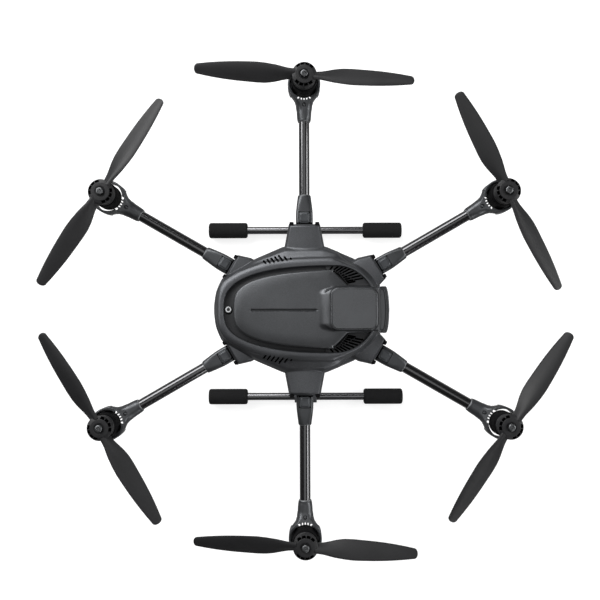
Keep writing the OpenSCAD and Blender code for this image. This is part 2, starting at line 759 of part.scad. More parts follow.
// root: knuckle on the hinge pin, a tapered block with the release button's pocket, bore for the tube
module arm_root(i) {
    color(ROOT_GREY)
    rotate([0, 0, ARM_ANGLES[i]])
    difference() {
        union() {
            translate([hinge_r, 0, hinge_z]) cyl_y(knuckle_r, [-root_w / 2 + 0.2, root_w / 2 - 0.2]);
            intersection() {
                translate([0, root_w / 2, 0]) rotate([90, 0, 0]) linear_extrude(root_w) polygon([
                    [hinge_r - knuckle_r * 0.6, hinge_z + knuckle_r * 0.8], [hinge_r + 4.4, root_top_z],
                    [root_end_r - 8, root_top_z - 1.6], [root_end_r, root_top_z - 2.4],
                    [root_end_r, arm_z - 6.9], [socket_r + 4, arm_z - 9.5], [hinge_r + 4, hinge_z - knuckle_r * 0.85],
                    [hinge_r, hinge_z - knuckle_r]]);
                translate([0, 0, hinge_z - 20]) linear_extrude(60) polygon([
                    [hinge_r - 20, -root_w / 2], [socket_r + 10, -root_w / 2], [root_end_r - 1.5, -root_tip_w / 2 - 0.3],
                    [root_end_r, -root_tip_w / 2 + 1], [root_end_r, root_tip_w / 2 - 1],
                    [root_end_r - 1.5, root_tip_w / 2 + 0.3], [socket_r + 10, root_w / 2], [hinge_r - 20, root_w / 2]]);
            }
        }
        translate([hinge_r, 0, hinge_z]) cyl_y(pin_r + fit, [-root_w, root_w]);
        translate([0, 0, arm_z]) cyl_x(tube_r + fit, [root_end_r - 14, root_end_r + 1]);
        rounded_block([button_r - button_w / 2 - seam, button_r + button_w / 2 + seam],
                      [-button_w / 2 - seam, button_w / 2 + seam],
                      [root_top_z - button_h - button_travel + button_proud - seam, root_top_z + 5], 2.5);
    }
}

module release_button(i) {
    top = root_top_z + button_proud;
    color(ROOT_GREY)
    rotate([0, 0, ARM_ANGLES[i]]) {
        rounded_block([button_r - button_w / 2, button_r + button_w / 2], [-button_w / 2, button_w / 2],
                      [top - button_h, top - 0.6], 2.2);
        rounded_block([button_r - button_w / 2 + 0.8, button_r + button_w / 2 - 0.8],
                      [-button_w / 2 + 0.8, button_w / 2 - 0.8], [top - 0.6 - eps, top], 1.8);
    }
}

module arm_tube(i) {
    color(GLOSS)
    rotate([0, 0, ARM_ANGLES[i]]) translate([0, 0, arm_z]) difference() {
        cyl_x(tube_r, [root_end_r - 14 + seam, motor_radius - neck_l + 12]);
        cyl_x(tube_r - tube_wall, [0, motor_radius]);
    }
}

cup_floor_z = arm_z - 6;
cup_rim_z = arm_z + 10;
stator_z = cup_floor_z + 3;
bell_z = stator_z + 4;
bell_top_z = bell_z + bell_h;
neck_end_x = motor_radius - neck_l;

// motor mount: neck round the tube, Y-shaped flare, cup for the motor, stator, screw and lamp
module motor_mount(i) {
    cup_wall = mount_ring_r - bell_r - 0.6;
    vent_x = motor_radius - mount_ring_r;
    color(SHELL)
    rotate([0, 0, ARM_ANGLES[i]]) {
        difference() {
            union() {
                translate([0, 0, arm_z]) cyl_x(tube_r + 1.3, [neck_end_x, neck_end_x + 14]);
                translate([0, 0, cup_floor_z]) linear_extrude(cup_rim_z - cup_floor_z - 1.5) polygon([
                    [neck_end_x + 1, -tube_r - 1.3], [neck_end_x + 12, -tube_r - 2], [neck_end_x + 18, -tube_r - 3],
                    [neck_end_x + 22, -tube_r - 4.3], [motor_radius - 13, -mount_ring_r + 4.4],
                    [motor_radius - 8.5, -mount_ring_r + 1.7], [motor_radius - 8.5, mount_ring_r - 1.7],
                    [motor_radius - 13, mount_ring_r - 4.4], [neck_end_x + 22, tube_r + 4.3],
                    [neck_end_x + 18, tube_r + 3], [neck_end_x + 12, tube_r + 2], [neck_end_x + 1, tube_r + 1.3]]);
                translate([motor_radius, 0, cup_floor_z]) cylinder(r = mount_ring_r, h = cup_rim_z - cup_floor_z);
            }
            translate([0, 0, arm_z]) cyl_x(tube_r + fit, [neck_end_x - 1, neck_end_x + 12 + seam]);
            translate([motor_radius, 0, stator_z]) cylinder(r = mount_ring_r - cup_wall, h = 30);
            // comb of vents between the neck and the cup
            for (t = [-5.4, -2.5, 0, 2.5, 5.4])
                box([vent_x - 1.6, vent_x + 3.4], [t - (abs(t) > 5 ? 1.4 : 0.6), t + (abs(t) > 5 ? 1.4 : 0.6)],
                    [cup_floor_z - 1, cup_rim_z + 1]);
            translate([motor_radius - 22.2, 0, cup_rim_z - 2.3]) cylinder(r = 1.7, h = 3);
        }
    }
    // screw in the neck
    color(STEEL)
    rotate([0, 0, ARM_ANGLES[i]]) translate([motor_radius - 22.2, 0, cup_rim_z - 2.3]) cylinder(r = 1.6, h = 0.6);
    // stator with its bearing bore
    color(STEEL)
    rotate([0, 0, ARM_ANGLES[i]]) translate([motor_radius, 0, stator_z]) difference() {
        union() {
            cylinder(r = bell_r - 1, h = 3);
            cylinder(r = bell_r - 3.4, h = bell_h - 1);
        }
        translate([0, 0, 1]) cylinder(r = shaft_r + fit, h = bell_h);
    }
    // lamp under the motor
    color([0.8, 0.82, 0.84])
    rotate([0, 0, ARM_ANGLES[i]]) translate([motor_radius, 0, cup_floor_z - 2.5]) cylinder(r1 = 5, r2 = 7, h = 2.5);
}

// motor bell: outer can, roof with air holes, shaft
module motor_bell(i) {
    color(BLACK)
    rotate([0, 0, ARM_ANGLES[i]]) translate([motor_radius, 0, bell_z]) {
        difference() {
            cylinder(r = bell_r, h = bell_h);
            translate([0, 0, -1]) cylinder(r = bell_r - 1.8, h = bell_h - 1.4);
            for (k = [0 : 7]) rotate([0, 0, k * 45 + 22.5]) translate([9, 0, bell_h - 5]) cylinder(r = 1.9, h = 10);
        }
        translate([0, 0, -2]) cylinder(r = shaft_r, h = bell_h);
    }
    // nut that holds the propeller
    color(STEEL)
    rotate([0, 0, ARM_ANGLES[i]]) translate([motor_radius, 0, cap_z - 3]) cylinder(r = 4, h = 3, $fn = 6);
}

// ---------- propellers ----------

prop_plane_z = cap_z - 5.5;
cap_t = 3;

// chord, pitch and thickness of a blade at distance r from the motor axis
function blade_chord(r) = prop_chord * lookup(r / prop_r,
    [[0.1, 0.56], [0.17, 0.64], [0.27, 0.84], [0.4, 0.98], [0.5, 1], [0.62, 0.95], [0.8, 0.76], [0.93, 0.55],
     [0.975, 0.46], [0.99, 0.4], [1, 0.27]]);
function blade_pitch(r) = lookup(r / prop_r, [[0.1, 27], [0.45, 21], [1, 16]]);
function blade_thickness(r) = lookup(r / prop_r, [[0.1, 3.2], [0.3, 2.2], [1, 1]]);
BLADE_STATIONS = [0.085, 0.16, 0.25, 0.35, 0.46, 0.58, 0.7, 0.82, 0.92, 0.975, 0.99, 1];
// upper and lower surface across the chord: place from the leading edge, height over thickness
BLADE_SECTION = [[0, 0.3], [0.08, 0.75], [0.3, 1], [0.6, 0.8], [0.9, 0.3], [1, 0.08], [0.9, 0], [0.5, 0.1], [0.15, 0]];

// one blade along +X; its leading edge is on the -Y side and higher
module blade() {
    n = len(BLADE_SECTION);
    last = len(BLADE_STATIONS) - 1;
    polyhedron(
        points = [for (s = BLADE_STATIONS)
            let (r = s * prop_r, c = blade_chord(r), p = blade_pitch(r), t = blade_thickness(r))
            for (q = BLADE_SECTION) let (y = c * (q[0] - 0.48), z = t * (q[1] - 0.5))
                [r, y * cos(p) + z * sin(p), z * cos(p) - y * sin(p)]],
        faces = concat(
            [[for (i = [n - 1 : -1 : 0]) i]],
            [[for (i = [0 : n - 1]) last * n + i]],
            [for (k = [0 : last - 1]) for (i = [0 : n - 1]) let (j = (i + 1) % n)
                [k * n + i, k * n + j, (k + 1) * n + j, (k + 1) * n + i]]
        )
    );
}

module propeller(i) {
    color(BLACK)
    rotate([0, 0, ARM_ANGLES[i]]) translate([motor_radius, 0, 0])
    rotate([0, 0, PROP_ANGLES[i] - ARM_ANGLES[i]])
    difference() {
        union() {
            for (k = [0, 180]) rotate([0, 0, k]) translate([0, 0, prop_plane_z]) blade();
            translate([0, 0, bell_top_z]) cylinder(r = cap_r - 1.2, h = prop_plane_z - bell_top_z);
            translate([0, 0, prop_plane_z - 1]) cylinder(r = cap_r, h = cap_t);
        }
        // recess of the nut, and the slots round the cap in two groups between the blades
        translate([0, 0, cap_z - 3 - fit]) cylinder(r = 5, h = 5);
        translate([0, 0, bell_top_z - 1]) cylinder(r = 2, h = 40);
        for (k = [-50, -25, 0, 25, 50], half = [90, 270]) rotate([0, 0, half + k])
            box([cap_r - 2.6, cap_r - 1.3], [-1.6, 1.6], [prop_plane_z + 1, cap_z]);
    }
}

// ---------- the six arms, one module per sub-part ----------

module arm_root_front_left() { arm_root(0); }
module arm_root_left() { arm_root(1); }
module arm_root_rear_left() { arm_root(2); }
module arm_root_rear_right() { arm_root(3); }
module arm_root_right() { arm_root(4); }
module arm_root_front_right() { arm_root(5); }

module arm_tube_front_left() { arm_tube(0); }
module arm_tube_left() { arm_tube(1); }
module arm_tube_rear_left() { arm_tube(2); }
module arm_tube_rear_right() { arm_tube(3); }
module arm_tube_right() { arm_tube(4); }
module arm_tube_front_right() { arm_tube(5); }

module motor_mount_front_left() { motor_mount(0); }
module motor_mount_left() { motor_mount(1); }
module motor_mount_rear_left() { motor_mount(2); }
module motor_mount_rear_right() { motor_mount(3); }
module motor_mount_right() { motor_mount(4); }
module motor_mount_front_right() { motor_mount(5); }

module motor_bell_front_left() { motor_bell(0); }
module motor_bell_left() { motor_bell(1); }
module motor_bell_rear_left() { motor_bell(2); }
module motor_bell_rear_right() { motor_bell(3); }
module motor_bell_right() { motor_bell(4); }
module motor_bell_front_right() { motor_bell(5); }

module propeller_front_left() { propeller(0); }
module propeller_left() { propeller(1); }
module propeller_rear_left() { propeller(2); }
module propeller_rear_right() { propeller(3); }
module propeller_right() { propeller(4); }
module propeller_front_right() { propeller(5); }

module release_button_front_left() { release_button(0); }
module release_button_left() { release_button(1); }
module release_button_rear_left() { release_button(2); }
module release_button_rear_right() { release_button(3); }
module release_button_right() { release_button(4); }
module release_button_front_right() { release_button(5); }

lower_shell();
upper_shell();
canopy();
trim_band();
gps_cover();
vent_grilles();
sonar_module();
circuit_boards();
gear_servos();
camera_mount();
dampers();
fasteners();
hinge_pins();
battery();
power_button();
leg_strut_left();
leg_strut_right();
skid_tube_left();
skid_tube_right();
skid_grips_left();
skid_grips_right();
gimbal_yaw_arm();
gimbal_roll_arm();
camera();
arm_root_front_left();
arm_root_left();
arm_root_rear_left();
arm_root_rear_right();
arm_root_right();
arm_root_front_right();
arm_tube_front_left();
arm_tube_left();
arm_tube_rear_left();
arm_tube_rear_right();
arm_tube_right();
arm_tube_front_right();
motor_mount_front_left();
motor_mount_left();
motor_mount_rear_left();
motor_mount_rear_right();
motor_mount_right();
motor_mount_front_right();
motor_bell_front_left();
motor_bell_left();
motor_bell_rear_left();
motor_bell_rear_right();
motor_bell_right();
motor_bell_front_right();
propeller_front_left();
propeller_left();
propeller_rear_left();
propeller_rear_right();
propeller_right();
propeller_front_right();
release_button_front_left();
release_button_left();
release_button_rear_left();
release_button_rear_right();
release_button_right();
release_button_front_right();
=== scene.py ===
"""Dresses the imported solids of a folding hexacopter: shells, arms, propellers, legs, gimbal camera and stage.

Every shape function works in millimetres in the part's own frame: +X forward, +Y to the left,
+Z up, the ground at z = 0. Lengths turn to metres where a mesh is made.
"""

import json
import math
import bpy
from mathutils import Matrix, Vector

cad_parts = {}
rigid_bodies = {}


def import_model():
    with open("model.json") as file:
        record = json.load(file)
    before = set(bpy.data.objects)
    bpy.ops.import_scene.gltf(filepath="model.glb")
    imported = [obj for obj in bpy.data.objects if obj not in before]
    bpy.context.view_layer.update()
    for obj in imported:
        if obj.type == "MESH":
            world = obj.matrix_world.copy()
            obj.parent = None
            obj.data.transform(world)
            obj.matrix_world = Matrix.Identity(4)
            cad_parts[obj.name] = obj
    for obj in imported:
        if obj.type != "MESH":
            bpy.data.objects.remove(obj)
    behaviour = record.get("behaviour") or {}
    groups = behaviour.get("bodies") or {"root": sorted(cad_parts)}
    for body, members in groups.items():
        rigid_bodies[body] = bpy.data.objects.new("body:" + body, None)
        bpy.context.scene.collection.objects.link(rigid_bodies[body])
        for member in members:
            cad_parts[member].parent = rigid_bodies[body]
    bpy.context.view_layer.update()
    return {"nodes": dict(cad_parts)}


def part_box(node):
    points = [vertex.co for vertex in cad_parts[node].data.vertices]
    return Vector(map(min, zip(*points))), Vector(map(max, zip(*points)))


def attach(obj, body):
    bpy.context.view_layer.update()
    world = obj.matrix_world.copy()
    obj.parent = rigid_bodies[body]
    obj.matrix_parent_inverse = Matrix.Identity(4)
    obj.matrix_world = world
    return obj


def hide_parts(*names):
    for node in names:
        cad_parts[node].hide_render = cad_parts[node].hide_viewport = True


bl_info = {
    "name": "Folding hexacopter",
    "version": (1, 0, 0),
    "blender": (4, 5, 0),
    "location": "3D View > Sidebar > Hexacopter",
    "description": "Builds the shells, arms, propellers, legs and gimbal camera of a folding hexacopter",
    "category": "Add Mesh",
}

import bmesh
import bpy
import numpy as np
from bpy.props import FloatProperty, FloatVectorProperty, IntProperty, PointerProperty
from mathutils import Euler, Vector
from mathutils.bvhtree import BVHTree

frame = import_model()

MM = 0.001
TABLE = np.linspace(0, 2 * np.pi, 7200, endpoint=False)   # even angles of every outline table
REAR = 95.0               # centre to the flat tail
SIDE_SOCKET = (5.0, 64)   # flare of a side socket at its root, and where the root lies
CORNER_SOCKET = (4.4, 76)
SLOT_LEAN = 129           # degrees that the rear slots lean
SLOT_DEPTH = 4.2
POCKET_DEPTH = 5.4        # of a release button's pocket
POCKET_GAP = 0.3
COVER_LENGTH = 48.5       # of the antenna's cover, without the ramp behind it
COVER_CORNER = 8.0
DRAWN_ARM_Z = 262         # arm height at which the root's edges were drawn
SHAFT_ABOVE_BELL = 17.5
GRIP_LENGTH = 52.6
NECK = 38.8               # motor axis to the inner end of a mount
RAMP = 14                 # length of the canopy's ramp behind the cover
BEVEL_ANGLE = 28.0        # degrees; edges sharper than this are rounded
ARMS = {"front_left": 30, "left": 90, "rear_left": 150, "rear_right": 210, "right": 270, "front_right": 330}
STOPPED_AT = {"front_left": 116.6, "left": -3.4, "rear_left": 56.9,
              "rear_right": 122.1, "right": -3.4, "front_right": 56.9}


def corners(node):
    """Lowest and highest corner of a CAD node in millimetres."""
    low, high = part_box(node)
    return np.array(low) / MM, np.array(high) / MM


UPPER = corners("upper_shell")
COVER = corners("gps_cover")
COVER[0][0] = COVER[1][0] - COVER_LENGTH
TUBE = corners("arm_tube_left")


# ---------------------------------------------------------------- settings

def length(name, description, millimetres):
    """A length property whose default is given in millimetres."""
    return FloatProperty(name=name, description=description, default=millimetres * MM,
                         unit="LENGTH", subtype="DISTANCE", precision=5)


def colour(name, description, rgb):
    """A linear colour property."""
    return FloatVectorProperty(name=name, description=description, default=rgb, size=3,
                               subtype="COLOR", min=0, max=1)


class HEXACOPTER_PG_body(bpy.types.PropertyGroup):
    ring_z: length("Ring height", "Top of the raised ring", float(UPPER[1][2]))
    split_z: length("Split height", "Where the two shells meet", float(UPPER[0][2]))
    groove_depth: length("Groove depth", "Depth of the groove inside the ring", 5)
    arm_top_z: length("Socket roof", "Flat top of a socket", 277.2)
    canopy_top: length("Canopy height", "Top of the canopy above the groove's floor", 14.5)
    waist_y: length("Waist half width", "Half width between the side sockets", 66.5)
    nose_x: length("Nose", "Flat front of the body", 80)
    socket_r: length("Socket reach", "Centre to the open end of a socket", 90)
    side_socket: length("Side socket width", "Width of a side socket at its open end", 33)
    corner_socket: length("Corner socket width", "Width of a corner socket at its open end", 29.4)
    slot_half: length("Slot half width", "Half width of the slot that an arm swings in", 9.7)
    slit_length: length("Slit length", "Length of the slit along the canopy", 68)
    slit_width: length("Slit width", "Width of the slit along the canopy", 2.6)
    rear_slots: IntProperty(name="Rear slots", description="Slots behind each side socket", default=7, min=3, max=9)
    grille_slots: IntProperty(name="Grille slots", description="Slots in each front grille", default=10, min=6,
                              max=12)


class HEXACOPTER_PG_arm(bpy.types.PropertyGroup):
    arm_z: length("Arm height", "Height of the arm tubes' axes", float(TUBE[0][2] + TUBE[1][2]) / 2)
    tube_r: length("Tube radius", "Outer radius of the arm tubes", float(TUBE[1][2] - TUBE[0][2]) / 2)
    root_end: length("Root end", "Centre to the outer end of an arm's root", 121.6)
    motor_r: length("Motor radius", "Centre to each motor's axis", 240)
    ring_r: length("Mount ring radius", "Outer radius of the ring round a motor", 17.4)
    bell_r: length("Bell radius", "Radius of a motor's bell", 14)
    cap_r: length("Cap radius", "Radius of a propeller's cap", 12.8)
    prop_r: length("Propeller radius", "Motor axis to a blade's tip", 113)
    chord: length("Blade chord", "Widest chord of a blade", 20)


class HEXACOPTER_PG_finish(bpy.types.PropertyGroup):
    body: colour("Body", "Satin plastic of the shells", (0.086, 0.089, 0.095))
    canopy: colour("Canopy", "Satin plastic of the canopy", (0.087, 0.090, 0.095))
    cover: colour("Antenna cover", "Smoother plastic of the antenna's cover", (0.090, 0.093, 0.098))
    arm: colour("Arm root", "Bluish plastic of the arm roots", (0.070, 0.073, 0.077))
    trim: colour("Trim", "Darker plastic in the groove and grilles", (0.022, 0.0226, 0.0240))
    tube: colour("Tubes", "Polished tubes of arms and skids", (0.060, 0.060, 0.063))
    blade: colour("Propellers", "Satin black of the propellers", (0.012, 0.012, 0.013))
    motor: colour("Motors", "Black anodised motor bells", (0.004, 0.004, 0.0044))
    foam: colour("Grips", "Foam of the skid grips", (0.0065, 0.0065, 0.007))
    steel: colour("Steel", "Nuts, pins and screws", (0.13, 0.134, 0.138))
    grain: FloatProperty(name="Grain", description="Depth of the moulded grain", default=0.25, min=0, max=1,
                         subtype="FACTOR")
    wear: FloatProperty(name="Edge wear", description="How far edges are polished lighter", default=0.35, min=0,
                        max=1, subtype="FACTOR")


class HEXACOPTER_PG_view(bpy.types.PropertyGroup):
    lens: FloatProperty(name="Lens", description="Focal length in millimetres", default=50.0, min=10)
    place: FloatVectorProperty(name="Camera place", description="Where the camera is", size=3, subtype="TRANSLATION",
                               default=(-0.00654, -0.01674, 1.1494), precision=5)
    turn: FloatVectorProperty(name="Camera turn", description="Euler angles of the camera", size=3, subtype="EULER",
                              default=(0.0305, -0.0018, -0.0028), precision=5)
    top: FloatProperty(name="Top light", description="Power of the soft box overhead in watts", default=4.5, min=0)
    key: FloatProperty(name="Key light", description="Power of the wide panel at the rear left in watts",
                       default=43.0, min=0)
    side: FloatProperty(name="Side light", description="Power of the panel beyond the nose in watts", default=16.0,
                        min=0)
    back: FloatProperty(name="Back light", description="Power of the narrow strip behind the tail in watts",
                        default=1.6, min=0)
    low: FloatProperty(name="Low light", description="Power of the small panel at the front right in watts",
                       default=6.0, min=0)
    sky: FloatProperty(name="Sky", description="Strength of the even studio light", default=0.05, min=0)


# ---------------------------------------------------------------- meshes

class Shape:
    """Collects grids of points with their faces, UV places and how much painted shade darkens each point."""

    def __init__(self):
        self.points, self.faces, self.count = [], [], 0
        self.painted_shade = []
        self.uv = []

    def grid(self, points, wrap_rows=False, wrap_columns=True, painted_shade=None, uv=None):
        """Adds points of shape (rows, columns, 3); each face joins four neighbours."""
        rows, columns = points.shape[:2]
        r, c = np.meshgrid(np.arange(rows if wrap_rows else rows - 1),
                           np.arange(columns if wrap_columns else columns - 1), indexing="ij")
        r2, c2 = (r + 1) % rows, (c + 1) % columns
        quad = np.stack([r * columns + c, r * columns + c2, r2 * columns + c2, r2 * columns + c], -1)
        self.faces += (quad.reshape(-1, 4) + self.count).tolist()
        self.points.append(points.reshape(-1, 3))
        self.painted_shade.append(np.zeros(rows * columns) if painted_shade is None else painted_shade.reshape(-1))
        self.uv.append(np.zeros((rows * columns, 2)) if uv is None else uv.reshape(-1, 2))
        self.count += rows * columns
        return self

    def close(self, points):
        """Adds a grid whose first and last rows are closed rings, each filled by one face."""
        rows, columns = points.shape[:2]
        start = self.count
        self.grid(points)
        self.faces.append((start + np.arange(columns))[::-1].tolist())
        self.faces.append((start + (rows - 1) * columns + np.arange(columns)).tolist())
        return self

    def add(self, other, place=None):
        """Adds another shape, with its points moved by a function of an (n, 3) array."""
        points = np.concatenate(other.points)
        self.points.append(points if place is None else place(points))
        self.faces += [[i + self.count for i in face] for face in other.faces]
        self.painted_shade += other.painted_shade
        self.uv += other.uv
        self.count += len(points)
        return self


def circles(radius, angle, height):
    """Points (r cos t, r sin t, z), one row for each radius and height and one column for each angle."""
    radius, angle, height = np.broadcast_arrays(radius, angle, height)
    return np.stack([radius * np.cos(angle), radius * np.sin(angle), height], -1)


def moved(shape, place):
    """A copy of a shape with its points moved by a function."""
    return Shape().add(shape, place)


def spin(points, degrees):
    """Turns points about Z: x' = x cos a - y sin a, y' = x sin a + y cos a."""
    a = math.radians(degrees)
    x, y = points[..., 0], points[..., 1]
    return np.stack([x * math.cos(a) - y * math.sin(a), x * math.sin(a) + y * math.cos(a), points[..., 2]], -1)


def along_x(points, x=0.0, y=0.0, z=0.0):
    """Lays a shape turned round Z along X instead: (x, y, z) becomes (z, y, -x), then moves it."""
    return np.stack([points[..., 2] + x, points[..., 1] + y, -points[..., 0] + z], -1)


def piece(name, shape, body, material, replaces=()):
    """Makes the mesh of a shape, joins its doubles, turns its faces outwards and hangs it on a CAD body."""
    mesh = bpy.data.meshes.new(name)
    points = np.concatenate(shape.points)
    mesh.from_pydata((points * MM).tolist(), [], shape.faces)
    # Painted shade: each point's share of the shade painted into the plastics in slots, seams and recesses.
    painted_shade = mesh.attributes.new("painted_shade", "FLOAT", "POINT")
    painted_shade.data.foreach_set("value", np.concatenate(shape.painted_shade).astype(np.float32))
    corner_vertex = np.zeros(len(mesh.loops), np.int32)
    mesh.loops.foreach_get("vertex_index", corner_vertex)
    layer = mesh.uv_layers.new(name="UVMap")
    layer.data.foreach_set("uv", np.concatenate(shape.uv)[corner_vertex].astype(np.float32).reshape(-1))
    work = bmesh.new()
    work.from_mesh(mesh)
    bmesh.ops.remove_doubles(work, verts=work.verts, dist=2e-6)
    bmesh.ops.dissolve_degenerate(work, edges=work.edges, dist=1e-6)
    bmesh.ops.recalc_face_normals(work, faces=work.faces)
    work.to_mesh(mesh)
    work.free()
    mesh.shade_smooth()
    mesh.set_sharp_from_angle(angle=math.radians(38.0))
    thing = bpy.data.objects.new(name, mesh)
    bpy.context.scene.collection.objects.link(thing)
    thing.data.materials.append(material)
    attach(thing, body)
    if replaces:
        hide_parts(*replaces)
    return thing


def softened_copy(node, body, material, width=0.5):
    """A copy of a CAD solid with its doubles merged and its edges rounded by a bevel."""
    source = frame["nodes"][node]
    mesh = source.data.copy()
    mesh.materials.clear()
    work = bmesh.new()
    work.from_mesh(mesh)
    bmesh.ops.remove_doubles(work, verts=work.verts, dist=1e-5)
    bmesh.ops.dissolve_limit(work, angle_limit=math.radians(1.0), verts=work.verts, edges=work.edges)
    bmesh.ops.recalc_face_normals(work, faces=work.faces)
    work.to_mesh(mesh)
    work.free()
    mesh.shade_smooth()
    mesh.set_sharp_from_angle(angle=math.radians(BEVEL_ANGLE))
    thing = bpy.data.objects.new(node + "_moulded", mesh)
    bpy.context.scene.collection.objects.link(thing)
    thing.data.materials.append(material)
    bevel = thing.modifiers.new("Rounded edges", "BEVEL")
    bevel.width = width * MM
    bevel.segments = 2
    bevel.limit_method = "ANGLE"
    bevel.angle_limit = math.radians(BEVEL_ANGLE)
    bevel.use_clamp_overlap = True
    bevel.harden_normals = False
    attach(thing, body)
    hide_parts(node)
    return thing


def cut(thing, shape):
    """Cuts a closed shape out of a piece by an exact boolean, and keeps the result as its mesh."""
    mesh = bpy.data.meshes.new("Cutter")
    mesh.from_pydata((np.concatenate(shape.points) * MM).tolist(), [], shape.faces)
    work = bmesh.new()
    work.from_mesh(mesh)
    bmesh.ops.recalc_face_normals(work, faces=work.faces)
    work.to_mesh(mesh)
    work.free()
    cutter = bpy.data.objects.new("Cutter", mesh)
    bpy.context.scene.collection.objects.link(cutter)
    modifier = thing.modifiers.new("Cut", "BOOLEAN")
    modifier.operation, modifier.object, modifier.solver = "DIFFERENCE", cutter, "EXACT"
    bpy.context.view_layer.update()
    ready = bpy.data.meshes.new_from_object(thing.evaluated_get(bpy.context.evaluated_depsgraph_get()))
    thing.modifiers.remove(modifier)
    old, thing.data = thing.data, ready
    ready.name = old.name
    bpy.data.meshes.remove(old)
    bpy.data.objects.remove(cutter)
    bpy.data.meshes.remove(mesh)
    return thing


# ---------------------------------------------------------------- outlines

def from_nose(angle):
    """Size of the turn from +X, 0 to pi, of angles from 0 to 2 pi."""
    return np.abs(np.where(angle > np.pi, angle - 2 * np.pi, angle))


def around(radii, angle):
    """Radius of an outline table at any angles, between the table's even angles."""
    return np.interp(np.mod(angle, 2 * np.pi), np.append(TABLE, 2 * np.pi), np.append(radii, radii[0]))


def blurred(values, sigma):
    """A closed row of values blurred by a Gaussian of sigma samples, by way of its Fourier terms."""
    k = np.fft.rfftfreq(len(values))
    return np.fft.irfft(np.fft.rfft(values, axis=0) * np.exp(-2 * (np.pi * k * sigma) ** 2)[
        (slice(None),) + (None,) * (values.ndim - 1)], len(values), axis=0)


def ray_table(polygon):
    """Radius of a polygon at each even angle: the farthest crossing of the ray with any side."""
    a = np.array(polygon, float)
    b = np.roll(a, -1, 0) - a
    d = np.stack([np.cos(TABLE), np.sin(TABLE)], -1)
    cross = d[:, None, 0] * b[None, :, 1] - d[:, None, 1] * b[None, :, 0]
    cross = np.where(np.abs(cross) < 1e-9, 1e-9, cross)
    s = -(d[:, None, 0] * a[None, :, 1] - d[:, None, 1] * a[None, :, 0]) / cross
    hit = a[None] + s[..., None] * b[None]
    r = (hit * d[:, None]).sum(-1)
    return np.where((s >= 0) & (s <= 1), r, 0).max(1)


def egg_table(middle, rear, front, half_width, taper, n_rear, n_front, x_max=1e3):
    """Radius table of a tapered superellipse: x = middle + a sgn(cos t)|cos t|^(2/n),
    y = (half_width + taper (x - middle)) sgn(sin t)|sin t|^(2/n), cut off flat at x_max."""
    t = np.linspace(0, 2 * np.pi, 8000, endpoint=False) + 1e-4
    c, s = np.cos(t), np.sin(t)
    n = np.where(c > 0, n_front, n_rear)
    dx = np.where(c > 0, front, rear) * np.sign(c) * np.abs(c) ** (2 / n)
    x = middle + dx
    y = (half_width + taper * dx) * np.sign(s) * np.abs(s) ** (2 / n)
    angle = np.mod(np.arctan2(y, x), 2 * np.pi)
    order = np.argsort(angle)
    r = np.interp(TABLE, angle[order], np.hypot(x, y)[order], period=2 * np.pi)
    return np.minimum(r, np.where(np.cos(TABLE) > 1e-6, x_max / np.maximum(np.cos(TABLE), 1e-6), 1e3))


def edge_distance(points, radii, samples=2400):
    """Distance from points to an outline, positive inside it: across the tangent at the nearest of
    many even samples of the outline."""
    flat = points[..., :2].reshape(-1, 2)
    t = spread_angles(radii, samples)
    r = around(radii, t)
    edge = np.stack([r * np.cos(t), r * np.sin(t)], -1)
    tangent = np.roll(edge, -1, 0) - np.roll(edge, 1, 0)
    tangent /= np.linalg.norm(tangent, axis=1)[:, None]
    near = np.concatenate([((block[:, None] - edge[None]) ** 2).sum(-1).argmin(1)
                           for block in np.array_split(flat, max(1, len(flat) // 3000))])
    away, along = flat - edge[near], tangent[near]
    inside = along[:, 0] * away[:, 1] - along[:, 1] * away[:, 0]
    far = np.linalg.norm(away, axis=1)
    within = np.hypot(*flat.T) < around(radii, np.arctan2(flat[:, 1], flat[:, 0]))
    return np.where(far < 1.5, inside, np.where(within, far, -far)).reshape(points.shape[:-1])


def smooth_max(a, b, k):
    """The larger of two heights, with a fillet about k wide where they cross."""
    return np.maximum(a, b) + k * np.clip(1 - np.abs(a - b) / k, 0, 1) ** 2 / 4


def step(x, low, high):
    """0 below low, 1 above high, with a smooth cubic between."""
    t = np.clip((x - low) / (high - low), 0, 1)
    return t * t * (3 - 2 * t)


def capsule(x, y, cx, cy, direction, half_length, half_width, soft=0.25):
    """1 inside a round-ended slot centred at (cx, cy) along an angle in degrees, 0 outside."""
    a = math.radians(direction)
    p = (x - cx) * math.cos(a) + (y - cy) * math.sin(a)
    q = -(x - cx) * math.sin(a) + (y - cy) * math.cos(a)
    d = np.hypot(np.maximum(np.abs(p) - (half_length - half_width), 0), q)
    return 1 - step(d, half_width - soft, half_width + soft)


def rounded_square(count, half_x, half_y, radius):
    """Points round a rectangle with round corners, evenly spaced along its outline from +X."""
    sides = np.array([half_y - radius, np.pi * radius / 2, 2 * (half_x - radius), np.pi * radius / 2,
                      2 * (half_y - radius), np.pi * radius / 2, 2 * (half_x - radius), np.pi * radius / 2,
                      half_y - radius])
    ends = np.cumsum(sides)
    s = np.linspace(0, ends[-1], count, endpoint=False)
    k = np.searchsorted(ends, s, side="right")
    f = s - np.where(k > 0, ends[np.maximum(k - 1, 0)], 0)
    a, b, r = half_x - radius, half_y - radius, radius
    turn = np.where(k % 2 == 1, f / max(radius, 1e-9), 0)
    base = np.array([0, 0, 1, 1, 2, 2, 3, 3, 4])[k] * np.pi / 2
    arc = base + turn
    cx = np.array([a, a, a, -a, -a, -a, -a, a, a])[k]
    cy = np.array([b, b, b, b, b, -b, -b, -b, -b])[k]
    x = np.select([k == 0, k == 2, k == 4, k == 6, k == 8],
                  [half_x + 0 * f, a - f, -half_x + 0 * f, -a + f, half_x + 0 * f], cx + r * np.cos(arc))
    y = np.select([k == 0, k == 2, k == 4, k == 6, k == 8],
                  [f, half_y + 0 * f, b - f, -half_y + 0 * f, -b + f], cy + r * np.sin(arc))
    return np.stack([x, y], -1)


